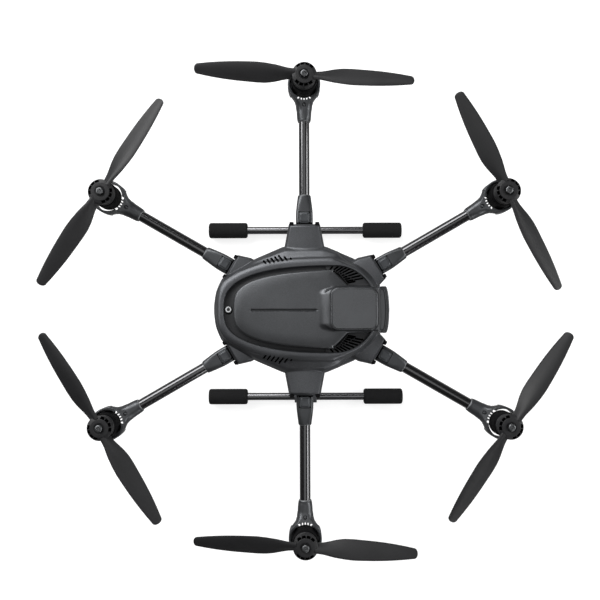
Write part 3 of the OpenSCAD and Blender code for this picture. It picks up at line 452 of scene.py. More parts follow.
def block(x, y, z, corner, edge, count):
    """A closed block with round upright corners: rings of a rounded rectangle, drawn in by a
    quarter circle of radius edge at the bottom and the top."""
    cx, cy = (x[0] + x[1]) / 2, (y[0] + y[1]) / 2
    hx, hy = (x[1] - x[0]) / 2, (y[1] - y[0]) / 2
    q = np.linspace(0, np.pi / 2, 6)
    inset = np.concatenate([edge * (1 - np.sin(q)), edge * (1 - np.cos(q))])
    height = np.concatenate([z[0] + edge * (1 - np.cos(q)), z[1] - edge * (1 - np.sin(q))])
    base = rounded_square(count, hx, hy, max(corner, edge + 0.05))
    grow = 1 - inset[:, None, None] / np.array([hx, hy])
    rings = base[None] * grow
    return Shape().close(np.concatenate([rings + [cx, cy], np.repeat(height[:, None, None], count, 1)], -1))


def turned(profile, count=64):
    """A solid of revolution round Z through a profile of (radius, height) pairs."""
    p = np.array(profile, float)
    t = np.linspace(0, 2 * np.pi, count, endpoint=False)
    points = circles(p[:, 0, None], t, p[:, 1, None])
    uv = np.stack([np.repeat(p[:, 1, None], count, 1), np.repeat(t[None] * p[:, 0].max(), len(p), 0)], -1)
    return Shape().grid(points, uv=uv)


def tube_shape(radius, start, end, wall, edge=0.3, count=64, rows=24):
    """An open tube along Z: outer wall, rounded lips and inner wall, closed on itself."""
    z = np.linspace(start + edge, end - edge, rows)
    out = np.stack([np.full(rows, radius), z], -1)
    back = np.stack([np.full(rows, radius - wall), z[::-1]], -1)
    lips = [[radius - edge * 0.3, end - edge * 0.3], [radius - edge, end], [radius - wall + edge * 0.3, end]]
    feet = [[radius - wall + edge * 0.3, start], [radius - edge, start], [radius - edge * 0.3, start + edge * 0.3]]
    p = np.concatenate([out, lips, back, feet])
    t = np.linspace(0, 2 * np.pi, count, endpoint=False)
    points = circles(p[:, 0, None], t, p[:, 1, None])
    uv = np.stack([np.repeat(p[:, 1, None], count, 1), np.repeat(t[None] * radius, len(p), 0)], -1)
    return Shape().grid(points, wrap_rows=True, uv=uv)


# ---------------------------------------------------------------- materials

def wire(tree, kind, inputs=None, **settings):
    """Adds a shader node; inputs are values or the sockets that feed them."""
    node = tree.nodes.new(kind)
    for key, value in settings.items():
        setattr(node, key, value)
    for key, value in (inputs or {}).items():
        if isinstance(value, bpy.types.NodeSocket):
            tree.links.new(value, node.inputs[key])
        else:
            node.inputs[key].default_value = value
    return node


def maths(tree, operation, a, b=None):
    """A maths node of one or two values."""
    inputs = {0: a} if b is None else {0: a, 1: b}
    return wire(tree, "ShaderNodeMath", inputs, operation=operation).outputs[0]


def new_group(name, inputs, outputs):
    """An empty shader group with named sockets."""
    group = bpy.data.node_groups.new(name, "ShaderNodeTree")
    for label, kind, value in inputs:
        socket = group.interface.new_socket(name=label, in_out="INPUT", socket_type=kind)
        if value is not None:
            socket.default_value = value
    for label, kind in outputs:
        group.interface.new_socket(name=label, in_out="OUTPUT", socket_type=kind)
    return group, group.nodes.new("NodeGroupInput"), group.nodes.new("NodeGroupOutput")


def ramp(tree, value, low, high, to_low=0.0, to_high=1.0):
    """A clamped straight map of a value between two pairs of limits."""
    return wire(tree, "ShaderNodeMapRange", {"Value": value, "From Min": low, "From Max": high,
                                             "To Min": to_low, "To Max": to_high}).outputs["Result"]


def blend_colour(tree, factor, a, b):
    """Two colours mixed by a factor."""
    node = tree.nodes.new("ShaderNodeMix")
    node.data_type = "RGBA"
    node.blend_type = "MIX"
    for socket, value in ((node.inputs[0], factor), (node.inputs[6], a), (node.inputs[7], b)):
        if isinstance(value, bpy.types.NodeSocket):
            tree.links.new(value, socket)
        else:
            socket.default_value = value if isinstance(value, float) else (*tuple(value)[:3], 1.0)
    return node.outputs[2]


def grain_group():
    """Moulded plastic: fine spark-eroded grain, soft handling blotches and painted shade, which darkens slots, seams
    and recesses to near-black.
    """
    group, into, out = new_group(
        "Moulded grain",
        [("Colour", "NodeSocketColor", (0.05, 0.05, 0.05, 1)),
         ("Cavity colour", "NodeSocketColor", (0.004, 0.004, 0.004, 1)),
         ("Grain scale", "NodeSocketFloat", 1100.0), ("Roughness", "NodeSocketFloat", 0.45),
         ("Variation", "NodeSocketFloat", 0.1),
         ("Metallic", "NodeSocketFloat", 0.0)],
        [("Colour", "NodeSocketColor"), ("Roughness", "NodeSocketFloat"), ("Metallic", "NodeSocketFloat"),
         ("Height", "NodeSocketFloat")])
    place = wire(group, "ShaderNodeTexCoord").outputs["Object"]
    fine = wire(group, "ShaderNodeTexNoise", {"Vector": place, "Scale": into.outputs["Grain scale"],
                                              "Detail": 2.0}).outputs["Fac"]
    broad = wire(group, "ShaderNodeTexNoise", {"Vector": place, "Scale": 34.0, "Detail": 3.0}).outputs["Fac"]
    # Painted shade: where it lies, the colour is painted towards the shade colour, made rougher and turned metallic so
    # that it reflects almost nothing.
    painted_shade = wire(group, "ShaderNodeAttribute", attribute_name="painted_shade").outputs["Fac"]
    lift = maths(group, "MULTIPLY", ramp(group, fine, 0.3, 0.7, -1.0, 1.0), into.outputs["Variation"])
    drift = maths(group, "ADD", ramp(group, broad, 0.35, 0.65, -0.06, 0.06), lift)
    gain = maths(group, "ADD", drift, 1.0)
    toned = wire(group, "ShaderNodeVectorMath", {0: into.outputs["Colour"], "Scale": gain},
                 operation="SCALE").outputs[0]
    colour_out = blend_colour(group, painted_shade, toned, into.outputs["Cavity colour"])
    rough = maths(group, "ADD", into.outputs["Roughness"], ramp(group, broad, 0.3, 0.7, -0.04, 0.05))
    rough = maths(group, "ADD", rough, maths(group, "MULTIPLY", painted_shade, 0.4))
    metal = maths(group, "MAXIMUM", into.outputs["Metallic"], painted_shade)
    group.links.new(colour_out, out.inputs["Colour"])
    group.links.new(rough, out.inputs["Roughness"])
    group.links.new(metal, out.inputs["Metallic"])
    group.links.new(fine, out.inputs["Height"])
    return group


def weave_group():
    """A faint twill of crossed fibres under lacquer, laid out on the UV map in millimetres."""
    group, into, out = new_group(
        "Twill under lacquer",
        [("Colour", "NodeSocketColor", (0.03, 0.03, 0.03, 1)), ("Thread", "NodeSocketFloat", 1.6),
         ("Contrast", "NodeSocketFloat", 0.15)],
        [("Colour", "NodeSocketColor"), ("Roughness", "NodeSocketFloat")])
    uv = wire(group, "ShaderNodeUVMap", uv_map="UVMap").outputs["UV"]
    parts = wire(group, "ShaderNodeSeparateXYZ", {"Vector": uv})
    u = maths(group, "DIVIDE", parts.outputs["X"], into.outputs["Thread"])
    v = maths(group, "DIVIDE", parts.outputs["Y"], into.outputs["Thread"])
    row = maths(group, "FLOOR", v)
    shifted = maths(group, "ADD", u, row)
    wave = maths(group, "SINE", maths(group, "MULTIPLY", shifted, 1.5708))
    gain = maths(group, "ADD", maths(group, "MULTIPLY", wave, into.outputs["Contrast"]), 1.0)
    toned = wire(group, "ShaderNodeVectorMath", {0: into.outputs["Colour"], "Scale": gain},
                 operation="SCALE").outputs[0]
    group.links.new(toned, out.inputs["Colour"])
    group.links.new(ramp(group, wave, -1.0, 1.0, 0.16, 0.24), out.inputs["Roughness"])
    return group


def new_look(name, group_name=None, **inputs):
    """An empty material, with its tree, its shader and, where asked for, a shader group in it."""
    material = bpy.data.materials.new(name)
    material.use_nodes = True
    tree, group = material.node_tree, None
    if group_name:
        group = tree.nodes.new("ShaderNodeGroup")
        group.node_tree = bpy.data.node_groups[group_name]
        for key, value in inputs.items():
            group.inputs[key.replace("_", " ")].default_value = value
    return tree, tree.nodes["Principled BSDF"], group


def plastic(name, rgb, rough=0.45, grain=1100.0, variation=0.1, bump=0.35, wear=0.0, coat=0.0, metallic=0.0,
            specular=0.5):
    """A moulded plastic or painted metal made from the grain group, with lighter edges where wear is asked for."""
    # The painted shade colour is 0.12 of the plastic's own colour.
    tree, shader, group = new_look(
        name, "Moulded grain", Colour=(*rgb, 1), Cavity_colour=(*(0.12 * c for c in rgb), 1),
        Grain_scale=grain, Roughness=rough, Variation=variation, Metallic=metallic)
    tint, shine = group.outputs["Colour"], group.outputs["Roughness"]
    if wear:
        edge = ramp(tree, wire(tree, "ShaderNodeNewGeometry").outputs["Pointiness"], 0.52, 0.62, 0.0, wear)
        tint = blend_colour(tree, edge, tint, tuple(min(1, 2.6 * c + 0.02) for c in rgb))
    bumped = wire(tree, "ShaderNodeBump", {"Height": group.outputs["Height"], "Strength": bump, "Distance": 0.00012})
    tree.links.new(tint, shader.inputs["Base Color"])
    tree.links.new(shine, shader.inputs["Roughness"])
    tree.links.new(bumped.outputs["Normal"], shader.inputs["Normal"])
    tree.links.new(group.outputs["Metallic"], shader.inputs["Metallic"])
    shader.inputs["Coat Weight"].default_value = coat
    shader.inputs["Coat Roughness"].default_value = 0.12
    shader.inputs["Specular IOR Level"].default_value = specular


def lacquered(name, rgb, thread=1.6, contrast=0.15):
    """A dark fibre tube under clear lacquer."""
    tree, shader, group = new_look(name, "Twill under lacquer", Colour=(*rgb, 1), Thread=thread, Contrast=contrast)
    tree.links.new(group.outputs["Colour"], shader.inputs["Base Color"])
    tree.links.new(group.outputs["Roughness"], shader.inputs["Roughness"])
    shader.inputs["Metallic"].default_value = 0.9
    shader.inputs["Coat Weight"].default_value = 1.0
    shader.inputs["Coat Roughness"].default_value = 0.08


def looks():
    """Makes every material from the finish settings."""
    f = bpy.context.scene.hexacopter_finish
    grain_group()
    weave_group()
    plastic("Body plastic", f.body, 0.42, bump=f.grain, variation=0.14, metallic=0.8)
    plastic("Canopy plastic", f.canopy, 0.38, bump=f.grain, variation=0.10, metallic=0.8)
    plastic("Cover plastic", f.cover, 0.28, bump=0.12, wear=f.wear * 0.6, variation=0.05, metallic=0.75)
    plastic("Arm plastic", f.arm, 0.36, bump=f.grain, wear=f.wear, variation=0.08, metallic=0.75)
    plastic("Collar plastic", (0.16, 0.165, 0.17), 0.5, bump=f.grain, variation=0.06)
    plastic("Mount plastic", tuple(1.15 * c for c in f.arm), 0.38, bump=f.grain, wear=f.wear, variation=0.06,
            metallic=0.75)
    plastic("Trim plastic", f.trim, 0.55, bump=f.grain, specular=0.22)
    plastic("Motor black", f.motor, 0.55, grain=1800.0, variation=0.2, bump=0.2, specular=0.05)
    plastic("Propeller plastic", f.blade, 0.48, grain=700.0, variation=0.1, bump=0.15, specular=0.36)
    plastic("Grip foam", f.foam, 0.85, grain=900.0, variation=0.35, bump=0.9, specular=0.25)
    plastic("Steel", f.steel, 0.4, grain=1600.0, variation=0.06, bump=0.1, metallic=1.0)
    plastic("Damper rubber", (0.010, 0.010, 0.011), 0.7, grain=900.0, variation=0.2, bump=0.4, specular=0.3)
    plastic("Gimbal metal", (0.045, 0.047, 0.050), 0.34, grain=1500.0, variation=0.1, bump=0.15, wear=f.wear,
            metallic=0.6)
    plastic("Battery plastic", (0.022, 0.022, 0.024), 0.5, bump=f.grain, wear=f.wear * 0.5)
    plastic("Button plastic", (0.058, 0.062, 0.067), 0.40, bump=f.grain, variation=0.06, metallic=0.6)
    plastic("Camera plastic", (0.020, 0.020, 0.022), 0.42, bump=f.grain, wear=f.wear * 0.6)
    plastic("Board green", (0.006, 0.030, 0.014), 0.4, grain=500.0, variation=0.5, bump=0.3, coat=0.5)
    plastic("Servo plastic", (0.016, 0.017, 0.020), 0.45, bump=f.grain, wear=f.wear * 0.5)
    plastic("White mark", (0.55, 0.56, 0.57), 0.45, variation=0.05, bump=0.1)
    lacquered("Arm tube lacquer", f.tube, 1.4, 0.06)
    # Painted light: the skid tubes take the arm tubes' lacquer made 2.2 times lighter, a lit copy of the same tube.
    lacquered("Skid tube lacquer painted lighter", tuple(2.2 * v for v in f.tube), 1.2, 0.05)
    tree, shader, _ = new_look("Lens glass")
    place = wire(tree, "ShaderNodeTexCoord").outputs["Object"]
    swirl = wire(tree, "ShaderNodeTexNoise", {"Vector": place, "Scale": 60.0}).outputs["Fac"]
    tree.links.new(blend_colour(tree, ramp(tree, swirl, 0.35, 0.65), (0.004, 0.006, 0.014), (0.016, 0.006, 0.018)),
                   shader.inputs["Base Color"])
    tree.links.new(ramp(tree, swirl, 0.3, 0.7, 0.03, 0.06), shader.inputs["Roughness"])
    shader.inputs["Coat Weight"].default_value = 1.0


def look(name):
    """A finished material by its name."""
    return bpy.data.materials[name]


# ---------------------------------------------------------------- body

def body_tables(b):
    """Every outline of the body as a table of radius against angle, made from its named lengths.

    The waist is a polygon with its corners blurred round; sockets are trapezia whose ends lie at
    the socket reach; the ring and groove are tapered superellipses."""
    front, waist_y, reach = b.nose_x / MM, b.waist_y / MM, b.socket_r / MM
    side, corner = b.side_socket / MM, b.corner_socket / MM
    ring = egg_table(24, REAR + 20, front - 5, 53.5, 0.02, 3, 1.6, front - 2)
    groove = egg_table(32.5, REAR + 21.8, front - 37.2, 45.2, 0.013, 2.7, 1.95, front)
    ring = np.minimum(ring, groove + 3.8 + 7 * step(from_nose(TABLE), 0.75, 1.2))
    half = [(front, 26), (53, 53.5), (22, waist_y), (-22, waist_y), (-52, 53.5), (-87, 33), (-92.8, 18), (-REAR, 4)]
    waist = ray_table(half + [(x, -y) for x, y in half[::-1]])
    waist = np.where(np.abs(np.sin(TABLE)) > 0.1, blurred(waist, 26), waist)
    sockets = np.zeros_like(waist)
    for angle in ARMS.values():
        width = side if abs(math.cos(math.radians(angle))) < 0.1 else corner
        flare, deep = SIDE_SOCKET if width == side else CORNER_SOCKET
        base = width / 2 + flare
        shape = [(30, -base), (deep, -base), (reach, -width / 2), (reach, width / 2), (deep, base), (30, base)]
        sockets = np.maximum(sockets, ray_table(spin(np.array([(x, y, 0) for x, y in shape], float), angle)[:, :2]))
    return {"ring": ring, "groove": groove, "waist": waist,
            "outer": np.maximum(waist, sockets)}


def spread_angles(radii, count, dense=None):
    """Angles whose points are evenly spaced along an outline, closer together where dense is above 1."""
    x, y = radii * np.cos(TABLE), radii * np.sin(TABLE)
    gap = np.hypot(np.roll(x, -1) - x, np.roll(y, -1) - y) * (1 if dense is None else dense(TABLE))
    run = np.concatenate([[0], np.cumsum(gap)])
    return np.interp(np.linspace(0, run[-1], count, endpoint=False), run, np.append(TABLE, 2 * np.pi))


def arm_frame(x, y):
    """For points in plan: distance out along the nearest arm's line, and across it."""
    t = np.arctan2(y, x)
    nearest = np.radians(np.round((np.degrees(t) - 30) / 60) * 60 + 30)
    return x * np.cos(nearest) + y * np.sin(nearest), -x * np.sin(nearest) + y * np.cos(nearest), nearest


def socket_depth(b, x, y):
    """How far inside a socket's sides and end a point lies, in millimetres (negative outside)."""
    u, t, nearest = arm_frame(x, y)
    side = np.abs(np.cos(nearest)) < 0.1
    half = np.where(side, b.side_socket / MM / 2, b.corner_socket / MM / 2)
    base = half + np.where(side, SIDE_SOCKET[0], CORNER_SOCKET[0])
    deep = np.where(side, SIDE_SOCKET[1], CORNER_SOCKET[1])
    reach = b.socket_r / MM
    slope = (base - half) / (reach - deep)
    edge = half + slope * np.clip(reach - u, 0, reach - deep)
    return np.minimum((edge - np.abs(t)) / np.hypot(1, slope), reach - u), u, t


def rear_slot_mask(b, x, y):
    """1 inside the leaning slots behind the side sockets, 0 elsewhere. Their inner ends follow the
    ring in even steps; their lengths grow forwards, then shrink over the last two."""
    count = b.rear_slots
    lean = math.radians(SLOT_LEAN)
    mask = np.zeros_like(x)
    for k in range(count):
        reach = min(4.8 + 0.8 * k, 2.4 + 3.0 * (count - 1 - k))
        cx = -40.2 + 26.7 * k / (count - 1) + reach / 2 * math.cos(lean)
        cy = 47.4 + 4.3 * k / (count - 1) + reach / 2 * math.sin(lean)
        for side in (1, -1):
            mask = np.maximum(mask, capsule(x, side * y, cx, cy, SLOT_LEAN, reach / 2, 0.8, 0.2))
    return mask


def upper_height(b, tables, x, y):
    """Height of the upper shell's top outside the ring: a shoulder that falls evenly to the waist,
    steeper at the front corners, joined by a fillet to the sockets, whose crowned tops fall as the
    square of the place across and end in bevels."""
    t = np.arctan2(y, x)
    r = np.hypot(x, y)
    inner, outer = around(tables["ring"], t), around(tables["waist"], t)
    width = np.minimum(np.maximum(outer - inner, 4), 4.5 + 11 * step(np.abs(t), 0.82, 1.3))
    s = (r - inner) / width
    ring_z = b.ring_z / MM
    shoulder = (ring_z - 2.6 - 1.5 * (1 - np.exp(-np.maximum(r - inner, 0) / 0.9)) - 5.6 * np.clip(s, 0, 1)
                - 6 * np.clip(2 * s - 1, 0, 1) ** 2 - 1.2 * np.clip(s - 1, 0, 3) - 30 * np.clip((r - outer) / 4, 0,
                                                                                                2))
    depth, _, across = socket_depth(b, x, y)
    bevel = np.clip(1 - depth / 2.6, 0, 1)
    crown = 1.7 * np.clip(np.abs(across) / 15, 0, 1.2) ** 2
    plateau = b.arm_top_z / MM - crown - 3.6 * bevel ** 1.3 - 20 * np.clip(-depth, 0, 3)
    return smooth_max(shoulder, np.where(depth > -3, plateau, -50), 2.4)


def upper_shell(b):
    """The upper shell as one closed loop of rows swept round the body: groove wall, crowned ring,
    shoulder and sockets, rounded edge, outer wall, then back inwards along the underside."""
    tables = body_tables(b)
    dense = lambda t: 1 + 0.9 * (np.abs(np.degrees(from_nose(t)) - 116) < 17)
    angle = spread_angles(tables["outer"], 1180, dense)
    ring_z, split = b.ring_z / MM, b.split_z / MM
    groove, lip = around(tables["groove"], angle), around(tables["ring"], angle)
    outer = around(tables["outer"], angle)
    c, s = np.cos(angle), np.sin(angle)
    row = lambda radius, height: circles(radius, angle, height)

    rows = []
    floor = ring_z - b.groove_depth / MM
    for inset, z in ((0.9, floor), (0.7, floor + 1.2), (0.35, ring_z - 1.6), (-0.15, ring_z - 0.5),
                     (-0.75, ring_z - 0.12)):
        rows.append(row(groove - inset, z))
    for f in np.linspace(0.1, 1, 11):
        fall = 2.6 * f ** 3.2
        rows.append(row(groove + (lip - groove) * f, ring_z + 0.25 * math.sin(math.pi * f) * (1 - f) - fall * 0.9))
    for f in np.linspace(0, 1, 47)[1:] ** 0.92:
        radius = lip + (outer - 0.9 - lip) * f
        rows.append(row(radius, upper_height(b, tables, radius * c, radius * s)))
    open_rows, last = len(rows), rows[-1][:, 2]
    u, across = socket_depth(b, outer * c, outer * s)[1:]
    foot = split + (b.arm_top_z / MM - 4.8 - split) * np.where(np.abs(across) < b.slot_half / MM,
                                                               (u > b.socket_r / MM - 1.5), 0)
    edge = last - 0.9
    rows.append(row(outer - 0.35, last - 0.35))
    rows.append(row(outer, edge))
    for f in (0.33, 0.66, 1):
        rows.append(row(outer, edge + (foot - edge) * f))
    inward = outer - 2.5 - 13.5 * (foot > split + 1)
    rows.append(row(inward, foot))
    rows.append(row(inward - 0.6, np.full_like(foot, split)))
    for f in (0.35, 0.7, 1):
        rows.append(row(inward - 0.6 + (groove - 6 - inward) * f, split + 10 * f))
    rows.append(row(groove - 4, floor - 2.2))
    rows.append(row(groove - 1.6, floor - 0.8))
    points = np.array(rows)
    mask = rear_slot_mask(b, points[..., 0], points[..., 1]) * (np.arange(len(rows))[:, None] < open_rows)
    points[..., 2] -= SLOT_DEPTH * mask
    # Painted shade: the rear slots are painted dark as well as pressed in.
    shape = Shape().grid(points, wrap_rows=True, painted_shade=mask)
    return shape


def canopy_tables(b):
    """Outlines of the canopy: a tapered superellipse behind, straight cut corners, then the nose."""
    front = b.nose_x / MM
    rear = egg_table(front * 0.425, REAR + 12.5, 10, 41.2, 0.058, 3.4, 2, 31.2)
    nose = ray_table([(20, 39), (31.2, 38.0), (44.4, 24.6), (front - 4, 24.0), (front - 4, -24.0), (44.4, -24.6),
                      (31.2, -38.0), (20, -39)])
    inside = np.where(rear * np.abs(np.cos(TABLE)) < 31.0, rear, 0)
    return blurred(np.maximum(np.where(np.cos(TABLE) > 0, np.maximum(inside, nose), rear), 0), 5)


def canopy(b):
    """The canopy as a height field over rings of its outline: a crown that falls a little faster in
    its last 13 mm and ends in a quarter round, a slit along the middle, and a soft ramp that rises to
    the antenna's cover."""
    edge = canopy_tables(b)
    angle = spread_angles(edge, 1000)
    f = np.concatenate([np.linspace(0.003, 0.80, 62), np.linspace(0.81, 0.955, 16),
                        1 - 0.04 * np.linspace(1, 0, 14) ** 1.6])[:, None]
    r = around(edge, angle)[None] * f
    x, y = r * np.cos(angle), r * np.sin(angle)
    top = b.ring_z / MM - b.groove_depth / MM + b.canopy_top / MM
    d = edge_distance(np.stack([x, y], -1), edge)
    drop = 1.2 * np.clip(1 - d / 13, 0, 1) ** 2 + 1.6 * (1 - np.sqrt(np.clip(1 - np.clip(1 - d / 1.6, 0, 1) ** 2, 0,
                                                                             1)))
    crown = -4.6 * (np.hypot(x + 12, 1.2 * y) / 62) ** 2
    nose = -6.0 * step(x, 66, 79)
    z = top + crown - drop + nose
    slit = capsule(x, y, -21.8, -1.1, 0, b.slit_length / MM / 2, b.slit_width / MM / 2, 0.3)
    low, high = COVER
    corner = COVER_CORNER
    cx, half_x, half_y = (low[0] + high[0]) / 2, (high[0] - low[0]) / 2 - corner, (high[1] - low[1]) / 2 - corner
    ax, ay = np.maximum(np.abs(x - cx) - half_x, 0), np.maximum(np.abs(y) - half_y, 0)
    gap = np.hypot(ax, ay) - corner
    behind = low[0] + corner - np.sqrt(corner ** 2 - np.clip(np.abs(y) - half_y, 0, 0.95 * corner) ** 2) - x
    aside = np.abs(y) - half_y - corner
    raised = step(-behind, -RAMP, 3) * step(-aside, -1.5, 0.9 + 6 * (1 - step(-behind, -7, 1))) * step(-x,
                                                                                                     -(high[0] + 7),
                                                                                                     -high[0])
    z = z + np.maximum(high[2] - 2.2 - z, 0) * raised
    z = np.where(gap < -1.0, np.minimum(z, COVER[0][2] + 0.2), z)
    z = z - 1.3 * slit
    base = circles(r[-1], angle, top - 16)
    points = np.stack([x, y, z], -1)
    under = np.stack([x[::-6] * 0.985, y[::-6] * 0.985, np.minimum(z[::-6], top) - 4], -1)
    shape = Shape()
    rows = np.concatenate([points, base[None], under])
    # Painted shade: a painted shadow line round the foot of the antenna's cover, and the slit painted dark as well as
    # pressed in.
    cover_shadow_line = 0.75 * np.exp(-((gap - 0.1) / 0.7) ** 2)
    painted_shade = np.concatenate([np.maximum(0.6 * slit, cover_shadow_line), np.zeros_like(base[None, :, 0]),
                             np.zeros(under.shape[:2])])
    shape.grid(rows, painted_shade=painted_shade)
    count = len(angle)
    shape.faces.append(np.arange(count)[::-1].tolist())
    shape.faces.append((np.arange(count) + (len(rows) - 1) * count).tolist())
    return shape


def antenna_cover():
    """The antenna's cover: rings of a rounded rectangle, with a bevelled step just inside its edge
    and a crown of 0.6 mm."""
    low, high = COVER
    hx, hy = (high[0] - low[0]) / 2, (high[1] - low[1]) / 2
    cx, cy, top = (high[0] + low[0]) / 2, 0.0, high[2]
    q = np.linspace(0, np.pi / 2, 7)
    inset = np.concatenate([[0, 0], 1.1 * (1 - np.cos(q)), [1.5, 1.65, 1.8, 2.0, 2.3], np.linspace(3, 20, 18)])
    z = np.concatenate([[low[2], top - 3], top - 1.4 - 1.1 + 1.1 * np.sin(q),
                        [top - 1.35, top - 1.25, top - 0.75, top - 0.42, top - 0.36],
                        top - 0.35 + 0.35 * (1 - (1 - np.linspace(0, 1, 18)) ** 2)])
    rings = np.stack([rounded_square(240, hx - i, hy - i, max(COVER_CORNER - i, 0.6)) for i in inset])
    bow = 1 - 0.014 * np.abs(rings[..., 0:1] * rings[..., 1:2]) / (hx * hy)
    points = np.concatenate([rings * bow + [cx, cy], np.repeat(z[:, None, None], 240, 1)], -1)
    shape = Shape().close(points)
    # Painted shade: the cover's foot and its bevelled step are painted dark, a painted shadow line round its edge.
    shape.painted_shade[-1] = np.repeat(0.7 * step(-inset, -0.5, -0.1) + 0.5 * step(np.abs(inset - 1.7), 0.35,
                                                                                       0.1), 240)
    return shape


def trim_band(b):
    """The dark band in the groove: a closed loop of rows from the canopy's edge to the groove's wall,
    slightly hollow, with a round recess for the power button at the rear."""
    tables = body_tables(b)
    outer, inner = tables["groove"], canopy_tables(b)
    angle = spread_angles(outer, 900)
    f = np.linspace(0, 1, 15)[:, None]
    r = around(inner, angle) * (1 - f) + (around(outer, angle) - 0.7) * f + np.where(f == 0, -1.2, 0)
    x, y = r * np.cos(angle), r * np.sin(angle)
    z = b.ring_z / MM - 2.4 - 0.9 * np.sin(np.pi * f) - 3.4 * step(x, 21.5, 25)
    recess = 1 - step(np.hypot(x + 79.2, y + 1.0), 3.9, 4.4)
    z = z - recess
    points = np.stack([x, y, z], -1)
    under = points[::-1] - [0, 0, 2.6]
    # Painted shade: the power button's recess is painted half dark.
    painted_shade = np.concatenate([recess * 0.5, 0 * recess])
    return Shape().grid(np.concatenate([points, under]), wrap_rows=True, painted_shade=painted_shade)


def socket_lugs(b):
    """The dark lugs on both sides of each arm at its socket's mouth."""
    shape = Shape()
    reach, top = b.socket_r / MM, b.arm_top_z / MM
    for angle in ARMS.values():
        half = (b.side_socket if abs(math.cos(math.radians(angle))) < 0.1 else b.corner_socket) / MM / 2
        for near, far in ((half - 5.2, half - 0.7), (0.7 - half, 5.2 - half)):
            lug = block((reach - 2.0, reach + 2.3), (near, far), (top - 11, top - 2.4), 1.2, 0.6, 40)
            shape.add(lug, lambda p, angle=angle: spin(p, angle))
    return shape


def power_button():
    """The round power button: a domed disc with a moulded rim, and the white ring on it."""
    low, high = corners("power_button")
    x, z, r = (low[0] + high[0]) / 2, high[2], (high[0] - low[0]) / 2
    cap = turned([(0, low[2]), (r, low[2]), (r, z - 0.7), (r - 0.25, z - 0.25), (r - 0.7, z - 0.1),
                  (r - 0.9, z - 0.3),
                  (2.9, z - 0.3), (2.2, z - 0.22), (0, z - 0.15)], 64)
    mark = turned([(1.7, z - 0.3), (1.75, z - 0.04), (2.95, z - 0.02), (3.0, z - 0.35), (1.7, z - 0.35)], 64)
    move = lambda p: p + [x, (low[1] + high[1]) / 2, 0]
    return moved(cap, move), moved(mark, move)


def front_grille(b, side):
    """A front grille: a panel between the canopy's cut corner, the nose and the ring, pressed with
    slanted slots in two runs. Points lie on a grid from the canopy's line to the ring's inner edge."""
    rows, columns = 110, 190
    v = np.linspace(0, 1, rows)[:, None]
    w = np.linspace(0, 1, columns)[None]
    inner = np.array([(22.0, 41.4), (30.3, 39.9), (36.4, 36.4), (41.3, 30.4), (45.0, 25.2), (56, 24.6), (68.4, 24.4)])
    outer = np.array([(22.0, 44.8), (36.2, 44.8), (43.6, 44.6), (49.3, 43.0), (54.0, 39.6), (63.6, 29.6),
                      (69.0, 24.8)])
    lines = []
    for line in (inner, outer):
        run = np.concatenate([[0], np.cumsum(np.hypot(*np.diff(line, axis=0).T))])
        lines.append(lambda f, line=line, run=run: (np.interp(f * run[-1], run, line[:, 0]),
                                                    np.interp(f * run[-1], run, line[:, 1])))
    (ix, iy), (ox, oy) = lines[0](w), lines[1](w)
    x, y = ix + (ox - ix) * v, iy + (oy - iy) * v
    mask = np.zeros_like(x)
    n = b.grille_slots
    for k in range(n):
        f = k / (n - 1)
        px, py = lines[0](0.075 + 0.44 * f ** 0.86)
        qx, qy = lines[1](0.14 + 0.70 * min(1, 1.06 * f) ** 0.86)
        if k == n - 1:
            qx, qy = px + 0.5 * (qx - px), py + 0.5 * (qy - py)
        reach, turn = math.hypot(qx - px, qy - py), math.degrees(math.atan2(qy - py, qx - px))
        bar = capsule(x, y, (px + qx) / 2, (py + qy) / 2, turn, reach / 2 - 0.3, 0.82, 0.12)
        if 0.3 < f < 0.9:
            g = 0.1 + 0.62 * (f - 0.3)
            bar = bar * (1 - capsule(x, y, px + g * (qx - px), py + g * (qy - py), turn + 90, 1.4, 0.4, 0.12))
        mask = np.maximum(mask, bar)
    rim = np.minimum(np.minimum(v * 14, (1 - v) * 14), 1)
    mask = mask * rim
    z = b.ring_z / MM - 1.2 - 1.2 * v * (1 - v) * 2 - 2.6 * mask
    points = np.stack([x, side * y, z], -1)
    under = points.copy()
    under[..., 2] = b.ring_z / MM - 6.0
    shape = Shape()
    # Painted shade: the slots are painted dark as well as pressed in.
    shape.grid(points, wrap_columns=False, painted_shade=mask)
    shape.grid(under[::-1], wrap_columns=False)
    border = np.concatenate([points[0], points[1:, -1], points[-1, ::-1][1:], points[::-1, 0][1:-1]])
    low = border.copy()
    low[:, 2] = b.ring_z / MM - 6.0
    shape.grid(np.stack([border, low]))
    return shape


def range_module():
    """The range module at the nose: a bowed block, lofted upwards through insets that leave two
    raised lips and a shallow window between them."""
    low, high = corners("sonar_module")
    t = np.linspace(0, 2 * np.pi, 200, endpoint=False)
    hy, x0, x1 = (high[1] - low[1]) / 2, low[0], high[0]
    n = 2 / 7.0
    c, s = np.cos(t), np.sin(t)
    across = np.sign(s) * np.abs(s) ** n
    deep = np.sign(c) * np.abs(c) ** n
    rings = []
    zs = [low[2], low[2] + 0.8, low[2] + 1.5, high[2] - 6.0, high[2] - 5.5, high[2] - 5.3, high[2] - 5.6,
          high[2] - 5.6,
          high[2] - 3.2, high[2] - 2.8, high[2] - 2.7, high[2] - 3.1, high[2] - 3.1, high[2] - 0.5, high[2] - 0.1,
          high[2], high[2] - 0.6]
    insets = [1.2, 0.3, 0, 0, 0.25, 0.8, 1.1, 1.7, 1.8, 2.1, 2.7, 3.0, 3.6, 3.7, 4.0, 4.6, 5.2]
    for z, inset in zip(zs, insets):
        width = hy - 0.8 * inset
        y = width * across
        front = x1 - inset - 2.4 * (y / hy) ** 2
        x = (x0 + front) / 2 + (front - x0) / 2 * deep
        rings.append(np.stack([x, y, np.full_like(x, z)], -1))
    return Shape().close(np.array(rings))


# ---------------------------------------------------------------- arms

